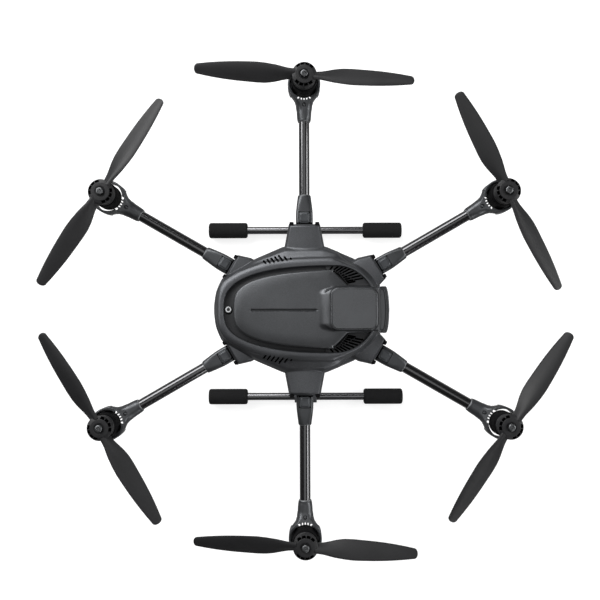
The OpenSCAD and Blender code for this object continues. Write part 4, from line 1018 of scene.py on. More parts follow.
def arm_root(arm, angle, pocket):
    """An arm's root, laid along +X then turned: closed sections of a rounded rectangle whose half
    width and top and bottom edges follow the arm's length, with a square pocket pressed in the top."""
    z0, end = arm.arm_z / MM, arm.root_end / MM
    w = (pocket[1][0] - pocket[0][0]) / 2 + POCKET_GAP
    cu = (pocket[1][0] + pocket[0][0]) / 2
    wall = np.array([-0.3, -0.1, 0.05, 0.22])
    u = np.sort(np.concatenate([np.linspace(79.6, 92, 34), np.linspace(92, end - 3.2, 70)[1:],
                                np.linspace(end - 3.2, end, 14)[1:], cu - w - wall, cu + w + wall]))
    top = np.interp(u, [79.6, 81, 83, 86, 89.2, 91.0, 91.8, 113, end - 0.5, end],
                    [257, 260.5, 263.0, 265.0, 267.2, 270.6, 271.3, 269.8, 269.0, 268.6]) + (z0 - DRAWN_ARM_Z)
    low = np.interp(u, [79.6, 81, 84, 88, 94, end - 0.5, end],
                    [250, 245.5, 242.6, 243.8, 252.5, 255.1, 255.5]) + (z0 - DRAWN_ARM_Z)
    half = np.interp(u, [79, 99, 104, 110, end - 0.5, end], [9.05, 9.05, 8.9, 8.3, 6.95, 6.5])
    for values in (top, low, half):
        values[:] = np.convolve(np.pad(values, 2, mode="edge"), [0.1, 0.2, 0.4, 0.2, 0.1], mode="valid")
    n = 2 / np.interp(u, [79, 92, 108, end], [7, 6, 5, 2.5])[:, None]
    reach = np.concatenate([[0.5, 2, 3.5, 4.8], w + wall, [w + 0.7]]) * np.minimum(1, half[:, None] / 7.6)
    lean = np.arccos((reach / half[:, None]) ** (1 / n))[:, ::-1]
    quarter = np.concatenate([lean[:, :1] * np.linspace(0.03, 1, 15)[:-1], lean], 1)
    t = np.concatenate([quarter, np.pi - quarter[:, ::-1], np.pi + quarter, 2 * np.pi - quarter[:, ::-1]], 1)
    c, s = np.cos(t), np.sin(t)
    y = half[:, None] * np.sign(c) * np.abs(c) ** n
    z = (top + low)[:, None] / 2 + (top - low)[:, None] / 2 * np.sign(s) * np.abs(s) ** n
    x = np.repeat(u[:, None], t.shape[1], 1)
    d = w - np.maximum(np.abs(x - cu), np.abs(y))
    inside = step(d, -0.2, 0.08) * (s > 0.2)
    z = z - POCKET_DEPTH * inside
    points = np.stack([x, y, z], -1)
    shape = Shape()
    shape.close(points)
    # Painted shade: the button's pocket is painted dark, and the root's inner end carries a painted shadow of the gap
    # where it enters the socket.
    shape.painted_shade[-1] = np.maximum(0.8 * inside, step(-x, -91.6, -90.4)).reshape(-1)
    return moved(shape, lambda p: spin(p, angle))


def release_button(low, high, angle):
    """A square button with round corners, a raised inner square and a shallow dish."""
    cx, half, top = (low[0] + high[0]) / 2, (high[0] - low[0]) / 2, high[2]
    inset = np.array([0, 0, 0.1, 0.3, 0.6, 1.5, 1.7, 2.0, 2.3, 2.7, 3.4, 4.2, 5.0, 5.6])
    z = top + np.array([-2.9, -1.0, -0.75, -0.6, -0.55, -0.5, -0.38, -0.1, 0.0, 0.02, -0.05, -0.12, -0.17, -0.18])
    rings = np.stack([rounded_square(96, half - i, half - i, max(2.3 - 0.5 * i, 0.25)) for i in inset])
    points = np.concatenate([rings + [cx, 0], np.repeat(z[:, None, None], 96, 1)], -1)
    return moved(Shape().close(points), lambda p: spin(p, angle))


def tube_collar(radius):
    """A pale moulded collar round a tube, 2 mm long, turned round Z."""
    out, inside = radius + 1.1, radius - 0.3
    profile = [(inside, 0), (out - 0.5, 0), (out, 0.5), (out, 1.5), (out - 0.5, 2.0), (inside, 2.0)]
    return turned(profile + [profile[0]], 64)


def motor_mount(arm, angle, screw_back=None):
    """An arm's motor mount: points on rays from the motor's axis, from the cup's wall to the outline.
    Neck sections are half rounds that swell and flatten into the ring; the comb of vents and the
    screw's hole are pressed in."""
    z0, m, ring = arm.arm_z / MM, arm.motor_r / MM, arm.ring_r / MM
    side = np.array([(NECK, 0.01), (NECK, 6.0), (NECK, 7.05), (37, 7.15), (28, 7.9), (21.4, 8.8), (17.2, 10.0),
                     (15, 11.7),
                     (13, 13.3), (10.8, 14.9), (8.7, 15.9), (5.5, 16.8), (2.3, 17.2)])
    polar = np.stack([np.arctan2(side[:, 1], side[:, 0]), np.hypot(side[:, 0], side[:, 1])], -1)
    a = np.abs(np.mod(TABLE, 2 * np.pi) - np.pi)
    table = np.where(a < polar[-1, 0], np.interp(a, polar[:, 0], polar[:, 1]), ring)
    table = blurred(table, 14)
    table = np.where(a < 0.135, NECK / np.cos(a), table)
    long_side = np.concatenate([[(90, 0.01), (90, 6.8)], side[3:]])
    far = np.stack([np.arctan2(long_side[:, 1], long_side[:, 0]), np.hypot(long_side[:, 0], long_side[:, 1])], -1)
    beyond = np.minimum(np.where(a < far[-1, 0], np.interp(a, far[:, 0], far[:, 1]), ring), 1e3)
    beyond = np.where(a < 0.19, np.minimum(90 / np.cos(a), 7.05 / np.maximum(np.sin(a), 1e-3)), blurred(beyond, 14))
    phi = spread_angles(table, 300)
    hole = ring - 2.4
    outer = around(table, phi)
    f = np.concatenate([np.linspace(0, 0.9, 30), np.linspace(0.92, 1, 8)])[:, None]
    r = hole + (outer - hole) * f
    x, y = r * np.cos(phi), r * np.sin(phi)
    back = -x
    edge = edge_distance(np.stack([x, y], -1), beyond, 3600)
    rho = 1.3 + 5.9 * step(back, 12, 27)
    round_off = np.sqrt(np.clip(1 - (1 - np.clip(edge, 0, rho) / rho) ** 2, 0, 1))
    tall = 7.0 + 3.0 * step(-back, -27, -14) + 0.35 * step(back, 36.9, 37.1) - 0.4 * step(back, 38.3, NECK)
    deep = 7.0 - 1.0 * step(-back, -27, -14)
    lip = 0.5 * step(r - hole, 0.0, 0.5) - 0.5
    screw = 0 * x if screw_back is None else 1 - step(np.hypot(back - screw_back, y), 1.75, 2.05)
    top = np.where(back < 12, z0 + 10 - 1.3 * (1 - round_off) + lip,
                   z0 + smooth_max(tall * round_off, np.where(back < 17.5, 9.0 * round_off, 0), 1.0))
    low = np.where(back < 12, z0 - 6 + 1.0 * (1 - round_off), z0 - deep * round_off)
    top = top - 1.2 * screw
    comb = step(-r, -hole - 4.4, -hole - 3.6) * step(back, 11.0, 12.0)
    low = low + (z0 + 6.8 - low) * comb
    upper = np.stack([x + m, y, top], -1)
    lower = np.stack([x + m, y, low], -1)[::-1]
    # Painted shade: the screw's hole is painted partly dark.
    shape = Shape().grid(np.concatenate([upper, lower]), wrap_rows=True,
                         painted_shade=np.concatenate([0.4 * screw, 0 * screw]))
    ring_angle = np.linspace(0, 2 * np.pi, 144, endpoint=False)
    reach = ring - 2.1 - 3.9 * step(-np.cos(ring_angle), 0.80, 0.86)
    floor = Shape().close(circles(reach, ring_angle, np.array([[z0 - 6], [z0 - 3.2]])))
    shape.add(floor, lambda p: p + [m, 0, 0])
    head = turned([(0, 0.7), (0.9, 0.68), (1.2, 0.45), (1.35, 0), (1.35, -1), (0, -1)], 24)
    screws = moved(head, lambda p: spin(p + [m - (screw_back or 0), 0, z0 + 7.5], angle))
    return moved(shape, lambda p: spin(p, angle)), screws


def mount_vents(arm, angle):
    """Five upright blocks that cut the comb of vents between an arm's neck and its motor."""
    z0, m, ring = arm.arm_z / MM, arm.motor_r / MM, arm.ring_r / MM
    cutter = Shape()
    for t, w in ((-6.4, 1.15), (-2.9, 0.62), (0, 0.62), (2.9, 0.62), (6.4, 1.15)):
        near = math.sqrt((ring - 2.3) ** 2 - t * t)
        cutter.add(block((m - near - 2.2, m - near + 2.0), (t - w, t + w), (z0 - 12, z0 + 14), min(w, 1.0) - 0.05,
                         0.02, 32))
    return moved(cutter, lambda p: spin(p, angle))


def motor_stator(arm, angle):
    """The laminated stator and the lamp under a motor."""
    z0, m = arm.arm_z / MM, arm.motor_r / MM
    r = arm.bell_r / MM
    body = turned([(3, z0 - 3), (r - 3, z0 - 3), (r - 3, z0 - 0.2), (r - 3.4, z0 - 0.2), (r - 3.4, z0 + 20),
                   (3, z0 + 20)], 64)
    lamp = turned([(0, z0 - 8.5), (5, z0 - 8.5), (6.4, z0 - 7.2), (7, z0 - 6.1), (0, z0 - 6.1)], 48)
    return (moved(body, lambda p: spin(p + [m, 0, 0], angle)), moved(lamp, lambda p: spin(p + [m, 0, 0], angle)))


def motor_bell(arm, name):
    """A motor's bell: a can with turned rings in its side and a domed roof, closed underneath."""
    low, high = corners("motor_bell_" + name)
    r, z, top = arm.bell_r / MM - 0.9, low[2], high[2] - SHAFT_ABOVE_BELL
    profile = [(r - 1.8, z + 2.2), (r - 1.6, z + 2), (r - 0.2, z + 2), (r, z + 2.3), (r, z + 6), (r - 0.5, z + 6.3),
               (r - 0.5, z + 7.2),
               (r, z + 7.5), (r, top - 8), (r - 0.4, top - 7.8), (r - 0.4, top - 7.2), (r, top - 7), (r, top - 4.5),
               (r - 0.3, top - 3.9), (r - 1.0, top - 3.3), (r - 2.2, top - 3.0), (3, top - 2.9), (3, top - 5),
               (r - 1.8, top - 5)]
    return moved(turned(profile + [profile[0]], 96), lambda p: spin(p + [arm.motor_r / MM, 0, 0], ARMS[name]))


def blade(arm):
    """One blade along +X. At each station a closed section with its thickness full at 0.3 of the chord
    is scaled by smoothed laws of chord and thickness and turned by the pitch; the tip is rounded."""
    radius, widest = arm.prop_r / MM, arm.chord / MM
    s = np.concatenate([np.linspace(0.085, 0.94, 74), 0.94 + 0.0598 * np.sin(np.linspace(0, np.pi / 2, 20))[1:]])
    fine = np.linspace(0.0, 1.1, 1100)
    law = np.interp(fine, [0.1, 0.16, 0.2, 0.27, 0.35, 0.43, 0.53, 0.62, 0.71, 0.8, 0.89, 0.94, 1.1],
                    [0.56, 0.62, 0.72, 0.9, 1.02, 1.05, 1.01, 0.965, 0.895, 0.795, 0.665, 0.575, 0.33])
    kernel = np.exp(-np.linspace(-2.5, 2.5, 61) ** 2)
    law = np.convolve(np.pad(law, 30, mode="edge"), kernel / kernel.sum(), mode="valid")
    chord = widest * np.interp(s, fine, law) * np.sqrt(np.clip(1 - np.clip((s - 0.965) / 0.0352, 0, 1) ** 2.6, 0.0004,
                                                               1))
    pitch = np.radians(np.interp(s, [0.1, 0.45, 1], [27, 21, 16]))
    thick = np.interp(s, [0.1, 0.3, 1], [3.2, 2.2,
                                         1.0]) * np.sqrt(np.clip(1 - np.clip((s - 0.97) / 0.0302, 0, 1) ** 2, 0.02,
                                                                 1))
    q = np.linspace(0, np.pi, 24)
    across = (1 - np.cos(q)) / 2
    upper = 0.06 + 0.94 * (across / 0.3) ** 0.6 * ((1 - across) / 0.7) ** 1.4 + 0.24 * (1 - across) ** 20
    lower = 0.30 * (1 - across) ** 10 + 0.06 * across ** 10 + 0.04 * np.sin(np.pi * across)
    place = np.concatenate([across, across[-2:0:-1]])
    height = np.concatenate([upper, lower[-2:0:-1]])
    y = chord[:, None] * (place[None] - 0.48) + 0.35 * np.exp(-((s - 0.33) / 0.09) ** 2)[:, None]
    z = thick[:, None] * (height[None] - 0.5)
    points = np.stack([np.repeat(s[:, None] * radius, len(place), 1),
                       y * np.cos(pitch)[:, None] + z * np.sin(pitch)[:, None],
                       z * np.cos(pitch)[:, None] - y * np.sin(pitch)[:, None]], -1)
    return Shape().close(points)


def motor_place(arm, name):
    """Where a motor's axis stands in plan."""
    m, a = arm.motor_r / MM, math.radians(ARMS[name])
    return [m * math.cos(a), m * math.sin(a), 0]


def propeller(arm, name):
    """A two-bladed propeller with its cap: the cap's top is a height field over rings, with a raised
    rim, slots in two runs between the blades and a recess for the nut."""
    stopped = STOPPED_AT[name]
    centre = motor_place(arm, name)
    top = corners("motor_bell_" + name)[1][2] - 3.5
    plane = top - 2.0
    shape = Shape()
    vane = blade(arm)
    for turn in (0, 180):
        shape.add(vane, lambda p, turn=turn: spin(p, turn + stopped) + centre + [0, 0, plane])
    cap = arm.cap_r / MM
    t = np.linspace(0, 2 * np.pi, 240, endpoint=False)
    r = np.concatenate([[3.9, 4.0, 4.6, 5.2, 5.4], np.linspace(5.8, cap - 0.5, 34), [cap - 0.2, cap - 0.03, cap]])[:,
                                                                                                                   None]
    a = np.degrees(t)[None]
    mask = np.zeros((len(r), len(t)))
    for half in (90, 270):
        for k in (-39, -13, 13, 39):
            turn = np.abs((a - half - k + 180) % 360 - 180) * np.pi / 180 * r
            mask = np.maximum(mask, (1 - step(turn, 1.75, 2.1)) * step(r, cap - 3.3, cap - 3.05) * step(-r,
                                                                                                        -cap + 0.45,
                                                                                                        -cap + 0.7))
    z = np.interp(r[:, 0], [3.9, 4.0, 4.6, 5.2, 5.4, 6.5, 9, cap - 1.5, cap - 0.5, cap - 0.2, cap],
                  [-0.4, -0.4, -0.2, 0.25, 0.4, 0.45, 0.3, -0.5, -0.95, -1.2, -1.9])[:, None] + top - 1.4 * mask
    disc = circles(r, t, z)
    sides = np.array([(cap, -3.1), (cap - 0.3, -3.3), (cap - 1.0, -3.4), (cap - 1.3, -4), (cap - 1.3, -7),
                      (cap - 0.9, -7.4),
                      (cap - 0.9, -10.4), (cap - 1.3, -10.8), (cap - 1.3, -14.2), (cap - 0.8, -14.6),
                      (cap - 0.8, -16.6), (2.4, -16.8), (2.4, -3.0)])
    wall = circles(sides[:, 0, None], t, sides[:, 1, None] + top)
    # Painted shade: the cap's slots are painted dark as well as pressed in.
    hub = Shape().grid(np.concatenate([disc, wall]), wrap_rows=True, painted_shade=np.concatenate([mask, 0 * wall[..., 0]]))
    shape.add(hub, lambda p: spin(p, stopped) + centre)
    return shape


def rotor_nut(arm, name):
    """The nut on the propeller with the shaft's end in it: a hexagon with turned, chamfered corners."""
    top = corners("motor_bell_" + name)[1][2]
    t = np.linspace(0, 2 * np.pi, 96, endpoint=False)
    hexagon = 3.5 / np.maximum.reduce([np.cos(t - k * np.pi / 3) for k in range(6)])
    rows = [(1.3, -1.0, 0), (1.5, -0.3, 0), (1.8, -0.03, 0), (2.6, 0, 0), (3.1, -0.15, 0), (3.6, -0.5, 1),
            (4.1, -1.1, 1), (4.1, -5.0, 1)]
    points = []
    for radius, z, cut in rows:
        r = np.minimum(hexagon, radius) if cut or radius > 3 else np.full_like(t, radius)
        points.append(circles(r, t, z + top))
    nut = Shape().close(np.array(points))
    nut.add(turned([(0, top - 1.6), (0.9, top - 1.6), (1.2, top - 1.2), (1.15, top - 0.6), (0, top - 0.5)], 32))
    return moved(nut, lambda p: p + motor_place(arm, name))


# ---------------------------------------------------------------- legs, camera, small parts

def camera_lens(front):
    """The camera's front glass, domed by 1.4 mm, and the ribbed hood round it, turned round Z."""
    r = np.linspace(0, 10.2, 14)
    dome = [(float(a), front - 2.4 - 1.4 * (a / 10.2) ** 2) for a in r]
    glass = turned(dome + [(10.2, front - 4.6), (0, front - 4.6)], 72)
    hood = [(12.4, front - 4.4), (12.4, front - 0.6), (12.0, front - 0.5), (11.9, front - 1.2), (11.5, front - 1.3),
            (11.4, front - 2.0),
            (11.0, front - 2.1), (10.9, front - 2.8), (10.5, front - 2.9), (10.3, front - 3.5), (10.3, front - 4.4)]
    return glass, turned(hood + [hood[0]], 96)


def skid_grip(low, high, ends):
    """A foam grip along X: a turned sleeve with full-round ends, closed on its bore."""
    r = (high[1] - low[1]) / 2
    shapes = Shape()
    for x0, x1 in ends:
        q = np.linspace(0, np.pi / 2, 8)
        rows = [(5.0, x0 + 0.4), (r - 3.2, x0)] + [(r - 3 + 3 * math.sin(a),
                                                    x0 + 3 * (1 - math.cos(a))) for a in q[1:]]
        rows += [(r, x0 + (x1 - x0) * f) for f in np.linspace(0.1, 0.9, 30)]
        rows += [(r - 3 + 3 * math.sin(a), x1 - 3 * (1 - math.cos(a))) for a in q[::-1][:-1]] + [(r - 3.2, x1),
                                                                                                 (5.0, x1 - 0.4),
                                                                                                 (5.0, x0 + 0.4)]
        p = np.array(rows)
        t = np.linspace(0, 2 * np.pi, 64, endpoint=False)
        flat = np.repeat(p[:, 0, None], 64, 1)
        z = flat * np.sin(t)
        z = np.maximum(z, low[2] - (low[2] + high[2]) / 2)
        points = np.stack([np.repeat(p[:, 1, None], 64, 1), flat * np.cos(t) + (low[1] + high[1]) / 2,
                           z + (low[2] + high[2]) / 2], -1)
        shapes.grid(points)
    return shapes


# ---------------------------------------------------------------- camera, image points, stage

FRAME = 600.0  # width and height of the photograph in pixels

# Named points of the photograph, in pixels, with the piece each belongs to and which side of what
# shows of it the point marks in x and y. The nuts and skid ends set the camera.
POINTS = {
    "left propeller nut": ((304.2, 72.7), "Nut_left", "middle", "middle"),
    "right propeller nut": ((305.8, 549.3), "Nut_right", "middle", "middle"),
    "rear left propeller nut": ((99.3, 190.7), "Nut_rear_left", "middle", "middle"),
    "rear right propeller nut": ((98.0, 429.4), "Nut_rear_right", "middle", "middle"),
    "front left propeller nut": ((509.7, 189.3), "Nut_front_left", "middle", "middle"),
    "front right propeller nut": ((512.3, 427.9), "Nut_front_right", "middle", "middle"),
    "left skid rear end": ((209.1, 230.5), "Skid_grips_left", "low", "middle"),
    "left skid front end": ((401.6, 230.5), "Skid_grips_left", "high", "middle"),
    "right skid rear end": ((209.1, 396.4), "Skid_grips_right", "low", "middle"),
    "right skid front end": ((401.6, 396.4), "Skid_grips_right", "high", "middle"),
    "leftmost blade tip": ((37.2, 281.0), "", "low", None),
    "rightmost blade tip": ((573.6, 335.0), "", "high", None),
    "top edge": ((302.0, 61.0), "", None, "low"),
    "bottom edge": ((303.0, 561.6), "", None, "high"),
    "power button ring": ((228.0, 310.5), "Power_key_ring", "middle", "middle"),
    "antenna cover": ((354.6, 310.0), "Antenna_cover", "middle", "middle"),
    "range module front": ((388.7, 310.8), "Range_module", "high", "middle"),
    "rear left mount screw": ((125.9, 207.2), "Mount_screw_rear_left", "middle", "middle"),
    "front right mount screw": ((484.9, 412.7), "Mount_screw_front_right", "middle", "middle"),
}


def camera_axes():
    """The camera's place, its axes as columns, its focal length in pixels and its shift in pixels."""
    thing = bpy.context.scene.camera
    data = thing.data
    return (np.array(thing.location), np.array(thing.rotation_euler.to_matrix()),
            FRAME * data.lens / data.sensor_width,
            np.array([data.shift_x, data.shift_y]) * FRAME)


def place_on(point, shape):
    """Where the ray through an image point meets a shape in millimetres, or else the place on the
    shape that lies nearest the ray."""
    eye, axes, focal, shift = camera_axes()
    ray = axes @ np.array([point[0] - FRAME / 2 + shift[0], FRAME / 2 - point[1] + shift[1], -focal])
    ray /= np.linalg.norm(ray)
    tree = BVHTree.FromPolygons((np.concatenate(shape.points) * MM).tolist(), shape.faces)
    place = tree.ray_cast(Vector(eye), Vector(ray))[0]
    if place is None:
        along = [tree.find_nearest(Vector(eye + ray * reach)) for reach in np.linspace(0.5, 1.5, 201)]
        place = min(along, key=lambda found: found[3])[0]
    return np.array(place) / MM


def finished_places():
    """Image x and y and distance from the camera of every finished vertex, by piece."""
    eye, axes, focal, shift = camera_axes()
    graph = bpy.context.evaluated_depsgraph_get()
    places = {}
    for thing in bpy.context.scene.objects:
        if thing.type != "MESH" or thing.name in frame["nodes"] or thing.name == "Floor":
            continue
        mesh = thing.evaluated_get(graph).data
        points = np.zeros(3 * len(mesh.vertices), np.float32)
        mesh.vertices.foreach_get("co", points)
        local = (points.reshape(-1, 3) - eye) @ axes
        far = -local[:, 2]
        places[thing.name] = np.stack([FRAME / 2 - shift[0] + focal * local[:, 0] / far,
                                       FRAME / 2 + shift[1] - focal * local[:, 1] / far, far])
    return places


def write_points():
    """Works out how far in x and y each thing shows from its image point; the offsets are not kept. A vertex shows when
    nothing in its pixel lies more than 3 mm nearer to the camera."""
    places = finished_places()
    size = int(FRAME)
    everything = np.concatenate(list(places.values()), axis=1)
    nearest = np.full(size * size, np.inf)
    cell = lambda p: np.clip(p[1].astype(int), 0, size - 1) * size + np.clip(p[0].astype(int), 0, size - 1)
    np.minimum.at(nearest, cell(everything), everything[2])
    pick = {"low": np.min, "high": np.max, "middle": lambda v: (v.min() + v.max()) / 2}
    for name, (point, piece_name, across, down) in POINTS.items():
        seen = places.get(piece_name, np.zeros((3, 0))) if piece_name else everything
        seen = seen[:, seen[2] < nearest[cell(seen)] + 3 * MM]
        off = [round(float(pick[side](seen[axis]) - point[axis]), 2) if side and seen.size else None
               for axis, side in enumerate((across, down))]


def camera():
    """The camera that took the photograph: its place, turn and lens, in frame metres."""
    v = bpy.context.scene.hexacopter_view
    data = bpy.data.cameras.new("Photo camera")
    data.sensor_fit = "AUTO"
    data.sensor_width = 36
    data.lens = v.lens
    data.clip_end = 20
    data.dof.use_dof = False
    thing = bpy.data.objects.new("Photo camera", data)
    thing.location = v.place
    thing.rotation_euler = Euler(v.turn, "XYZ")
    bpy.context.scene.collection.objects.link(thing)
    bpy.context.scene.camera = thing
    return thing


def stage():
    """A pale floor that glows with distance, an even sky and five rectangular lamps."""
    scene = bpy.context.scene
    v = scene.hexacopter_view
    floor_mesh = bpy.data.meshes.new("Floor")
    a = np.linspace(0, 2 * np.pi, 96, endpoint=False)
    r = np.concatenate([np.linspace(0.01, 1.2, 20), np.linspace(1.4, 8, 20)])[:, None]
    shape = Shape()
    shape.grid(circles(r, a, 0.0))
    shape.faces.append(np.arange(96).tolist())
    floor_mesh.from_pydata(np.concatenate(shape.points).tolist(), [], shape.faces)
    floor = bpy.data.objects.new("Floor", floor_mesh)
    scene.collection.objects.link(floor)
    paper = bpy.data.materials.new("Studio paper")
    paper.use_nodes = True
    tree = paper.node_tree
    tree.nodes.clear()
    out = tree.nodes.new("ShaderNodeOutputMaterial")
    place = wire(tree, "ShaderNodeTexCoord").outputs["Object"]
    away = wire(tree, "ShaderNodeVectorMath", {0: place}, operation="LENGTH").outputs["Value"]
    diffuse = wire(tree, "ShaderNodeBsdfDiffuse", {"Color": (0.5, 0.5, 0.5, 1)})
    glow = wire(tree, "ShaderNodeEmission", {"Color": (1, 1, 1, 1), "Strength": ramp(tree, away, 0.5, 2.2, 0.7, 1.0)})
    both = wire(tree, "ShaderNodeAddShader", {0: diffuse.outputs[0], 1: glow.outputs[0]})
    dark = wire(tree, "ShaderNodeBsdfDiffuse", {"Color": (0.32, 0.32, 0.32, 1)})
    path = tree.nodes.new("ShaderNodeLightPath")
    mix = wire(tree, "ShaderNodeMixShader", {0: path.outputs["Is Camera Ray"], 1: dark.outputs[0],
                                             2: both.outputs[0]})
    tree.links.new(mix.outputs[0], out.inputs["Surface"])
    floor.data.materials.append(paper)

    world = bpy.data.worlds.new("Studio")
    scene.world = world
    world.use_nodes = True
    tree = world.node_tree
    tree.nodes.clear()
    out = tree.nodes.new("ShaderNodeOutputWorld")
    sky = wire(tree, "ShaderNodeBackground", {"Color": (1.0, 1.0, 1.0, 1), "Strength": v.sky})
    seen = wire(tree, "ShaderNodeBackground", {"Color": (1, 1, 1, 1), "Strength": 1.0})
    path = tree.nodes.new("ShaderNodeLightPath")
    mix = wire(tree, "ShaderNodeMixShader", {0: path.outputs["Is Camera Ray"], 1: sky.outputs[0], 2: seen.outputs[0]})
    tree.links.new(mix.outputs[0], out.inputs["Surface"])

    def lamp(name, place, aim, power, size):
        """A rectangular lamp turned to face a place."""
        data = bpy.data.lights.new(name, "AREA")
        data.energy = power
        data.shape = "RECTANGLE"
        data.size, data.size_y = size
        thing = bpy.data.objects.new(name, data)
        thing.location = place
        thing.rotation_euler = (Vector(aim) - Vector(place)).to_track_quat("-Z", "Y").to_euler()
        scene.collection.objects.link(thing)

    lamp("Top", (0.0, 0.0, 1.9), (0, 0, 0.2), v.top, (1.3, 1.3))
    lamp("Key", (-0.84, 1.19, 1.25), (0, 0, 0.25), v.key, (2.1, 0.95))
    lamp("Side", (1.55, 0.0, 1.05), (0, 0, 0.25), v.side, (1.2, 0.6))
    lamp("Back", (-1.05, 0.0, 0.95), (0, 0, 0.28), v.back, (0.17, 0.4))
    lamp("Low", (0.75, -1.3, 0.75), (0, 0, 0.25), v.low, (0.7, 0.5))
    scene.view_settings.view_transform = "Standard"


# ---------------------------------------------------------------- operators

class HEXACOPTER_OT_materials(bpy.types.Operator):
    """Makes the shader groups and every material"""
    bl_idname = "hexacopter.materials"
    bl_label = "Materials"
    bl_options = {"REGISTER", "UNDO"}

    def execute(self, context):
        looks()
        return {"FINISHED"}


class HEXACOPTER_OT_shells(bpy.types.Operator):
    """Builds the upper and lower shells, the groove's band and the canopy"""
    bl_idname = "hexacopter.shells"
    bl_label = "Shells"
    bl_options = {"REGISTER", "UNDO"}

    def execute(self, context):
        b = context.scene.hexacopter_body
        piece("Upper_shell_cover", upper_shell(b), "airframe", look("Body plastic"), ["upper_shell"])
        piece("Canopy_cover", canopy(b), "airframe", look("Canopy plastic"), ["canopy"])
        piece("Groove_band", trim_band(b), "airframe", look("Trim plastic"), ["trim_band"])
        piece("Antenna_cover", antenna_cover(), "airframe", look("Cover plastic"), ["gps_cover"])
        softened_copy("lower_shell", "airframe", look("Body plastic"), 0.7)
        return {"FINISHED"}


class HEXACOPTER_OT_fittings(bpy.types.Operator):
    """Builds the grilles, power button, range module and other small parts of the body"""
    bl_idname = "hexacopter.fittings"
    bl_label = "Body fittings"
    bl_options = {"REGISTER", "UNDO"}

    def execute(self, context):
        b = context.scene.hexacopter_body
        grilles = Shape()
        for side in (1, -1):
            grilles.add(front_grille(b, side))
        piece("Front_grilles", grilles, "airframe", look("Trim plastic"), ["vent_grilles"])
        piece("Range_module", range_module(), "airframe", look("Cover plastic"), ["sonar_module"])
        piece("Socket_lugs", socket_lugs(b), "airframe", look("Motor black"))
        cap, mark = power_button()
        piece("Power_key_cap", cap, "power_key", look("Trim plastic"), ["power_button"])
        piece("Power_key_ring", mark, "power_key", look("White mark"))
        for node, slot, material, width in (
                ("circuit_boards", "circuit_board", "Board green", 0.15),
                ("gear_servos", "servo_plastic", "Servo plastic", 0.4),
                ("camera_mount", "body_plastic", "Body plastic", 0.5),
                ("dampers", "damper_rubber", "Damper rubber", 0.3), ("fasteners", "steel", "Steel", 0.12),
                ("hinge_pins", "steel", "Steel", 0.2)):
            softened_copy(node, "airframe", look(material), width)
        softened_copy("battery", "battery_pack", look("Battery plastic"), 0.6)
        return {"FINISHED"}


class HEXACOPTER_OT_arms(bpy.types.Operator):
    """Builds the six arms with their release buttons, tubes and motor mounts"""
    bl_idname = "hexacopter.arms"
    bl_label = "Arms"
    bl_options = {"REGISTER", "UNDO"}

    def execute(self, context):
        a = context.scene.hexacopter_arm
        pocket = corners("release_button_left")
        spun = [np.array([pocket[0][1], -pocket[1][0], pocket[0][2]]),
                np.array([pocket[1][1], -pocket[0][0], pocket[1][2]])]
        bare = motor_mount(a, ARMS["rear_left"])[0]
        screw_back = a.motor_r / MM - math.hypot(*place_on(POINTS["rear left mount screw"][0], bare)[:2])
        for name, angle in ARMS.items():
            body = "arm_" + name
            piece("Arm_root_" + name, arm_root(a, angle, spun), body,
                  look("Arm plastic"), ["arm_root_" + name])
            tube = tube_shape(a.tube_r / MM, a.root_end / MM - 13.5, a.motor_r / MM - 27.5, 1.0)
            piece("Arm_tube_" + name, moved(tube, lambda p, angle=angle: spin(along_x(p, 0, 0, a.arm_z / MM), angle)),
                  body,
                  look("Arm tube lacquer"), ["arm_tube_" + name])
            mount, screws = motor_mount(a, angle, screw_back)
            stator, lamp = motor_stator(a, angle)
            holder = piece("Motor_mount_" + name, mount, body, look("Mount plastic"),
                           ["motor_mount_" + name])
            cut(holder, mount_vents(a, angle))
            piece("Mount_screw_" + name, screws, body, look("Mount plastic"))
            collars = Shape()
            for end in (a.root_end / MM - 1.5, a.motor_r / MM - 39.3):
                collars.add(tube_collar(a.tube_r / MM), lambda p,
                            end=end: spin(along_x(p, end, 0, a.arm_z / MM), angle))
            piece("Tube_collars_" + name, collars, body, look("Collar plastic"))
            piece("Stator_" + name, stator, body, look("Steel"))
            piece("Lamp_" + name, lamp, body, look("White mark"))
            piece("Release_button_" + name, release_button(spun[0], spun[1], angle), "release_" + name,
                  look("Button plastic"), ["release_button_" + name])
        return {"FINISHED"}


class HEXACOPTER_OT_rotors(bpy.types.Operator):
    """Builds the six motor bells and propellers"""
    bl_idname = "hexacopter.rotors"
    bl_label = "Rotors"
    bl_options = {"REGISTER", "UNDO"}

    def execute(self, context):
        a = context.scene.hexacopter_arm
        for name in ARMS:
            body = "rotor_" + name
            piece("Motor_bell_" + name, motor_bell(a, name), body,
                  look("Motor black"), ["motor_bell_" + name])
            piece("Propeller_" + name, propeller(a, name), body, look("Propeller plastic"),
                  ["propeller_" + name])
            piece("Nut_" + name, rotor_nut(a, name), body, look("Steel"))
        return {"FINISHED"}


class HEXACOPTER_OT_legs(bpy.types.Operator):
    """Builds the two legs with their skid tubes and foam grips"""
    bl_idname = "hexacopter.legs"
    bl_label = "Legs"
    bl_options = {"REGISTER", "UNDO"}

    def execute(self, context):
        for side in ("left", "right"):
            body = "leg_" + side
            softened_copy("leg_strut_" + side, body, look("Body plastic"), 0.5)
            low, high = corners("skid_tube_" + side)
            tube = tube_shape((high[1] - low[1]) / 2, low[0], high[0], 1.0, rows=80)
            y, z = (low[1] + high[1]) / 2, (low[2] + high[2]) / 2
            piece("Skid_tube_" + side, moved(tube, lambda p, y=y, z=z: along_x(p, 0, y, z)), body,
                  look("Skid tube lacquer painted lighter"), ["skid_tube_" + side])
            low, high = corners("skid_grips_" + side)
            ends = [(low[0], low[0] + GRIP_LENGTH), (high[0] - GRIP_LENGTH, high[0])]
            piece("Skid_grips_" + side, skid_grip(low, high, ends), body, look("Grip foam"),
                  ["skid_grips_" + side])
        return {"FINISHED"}


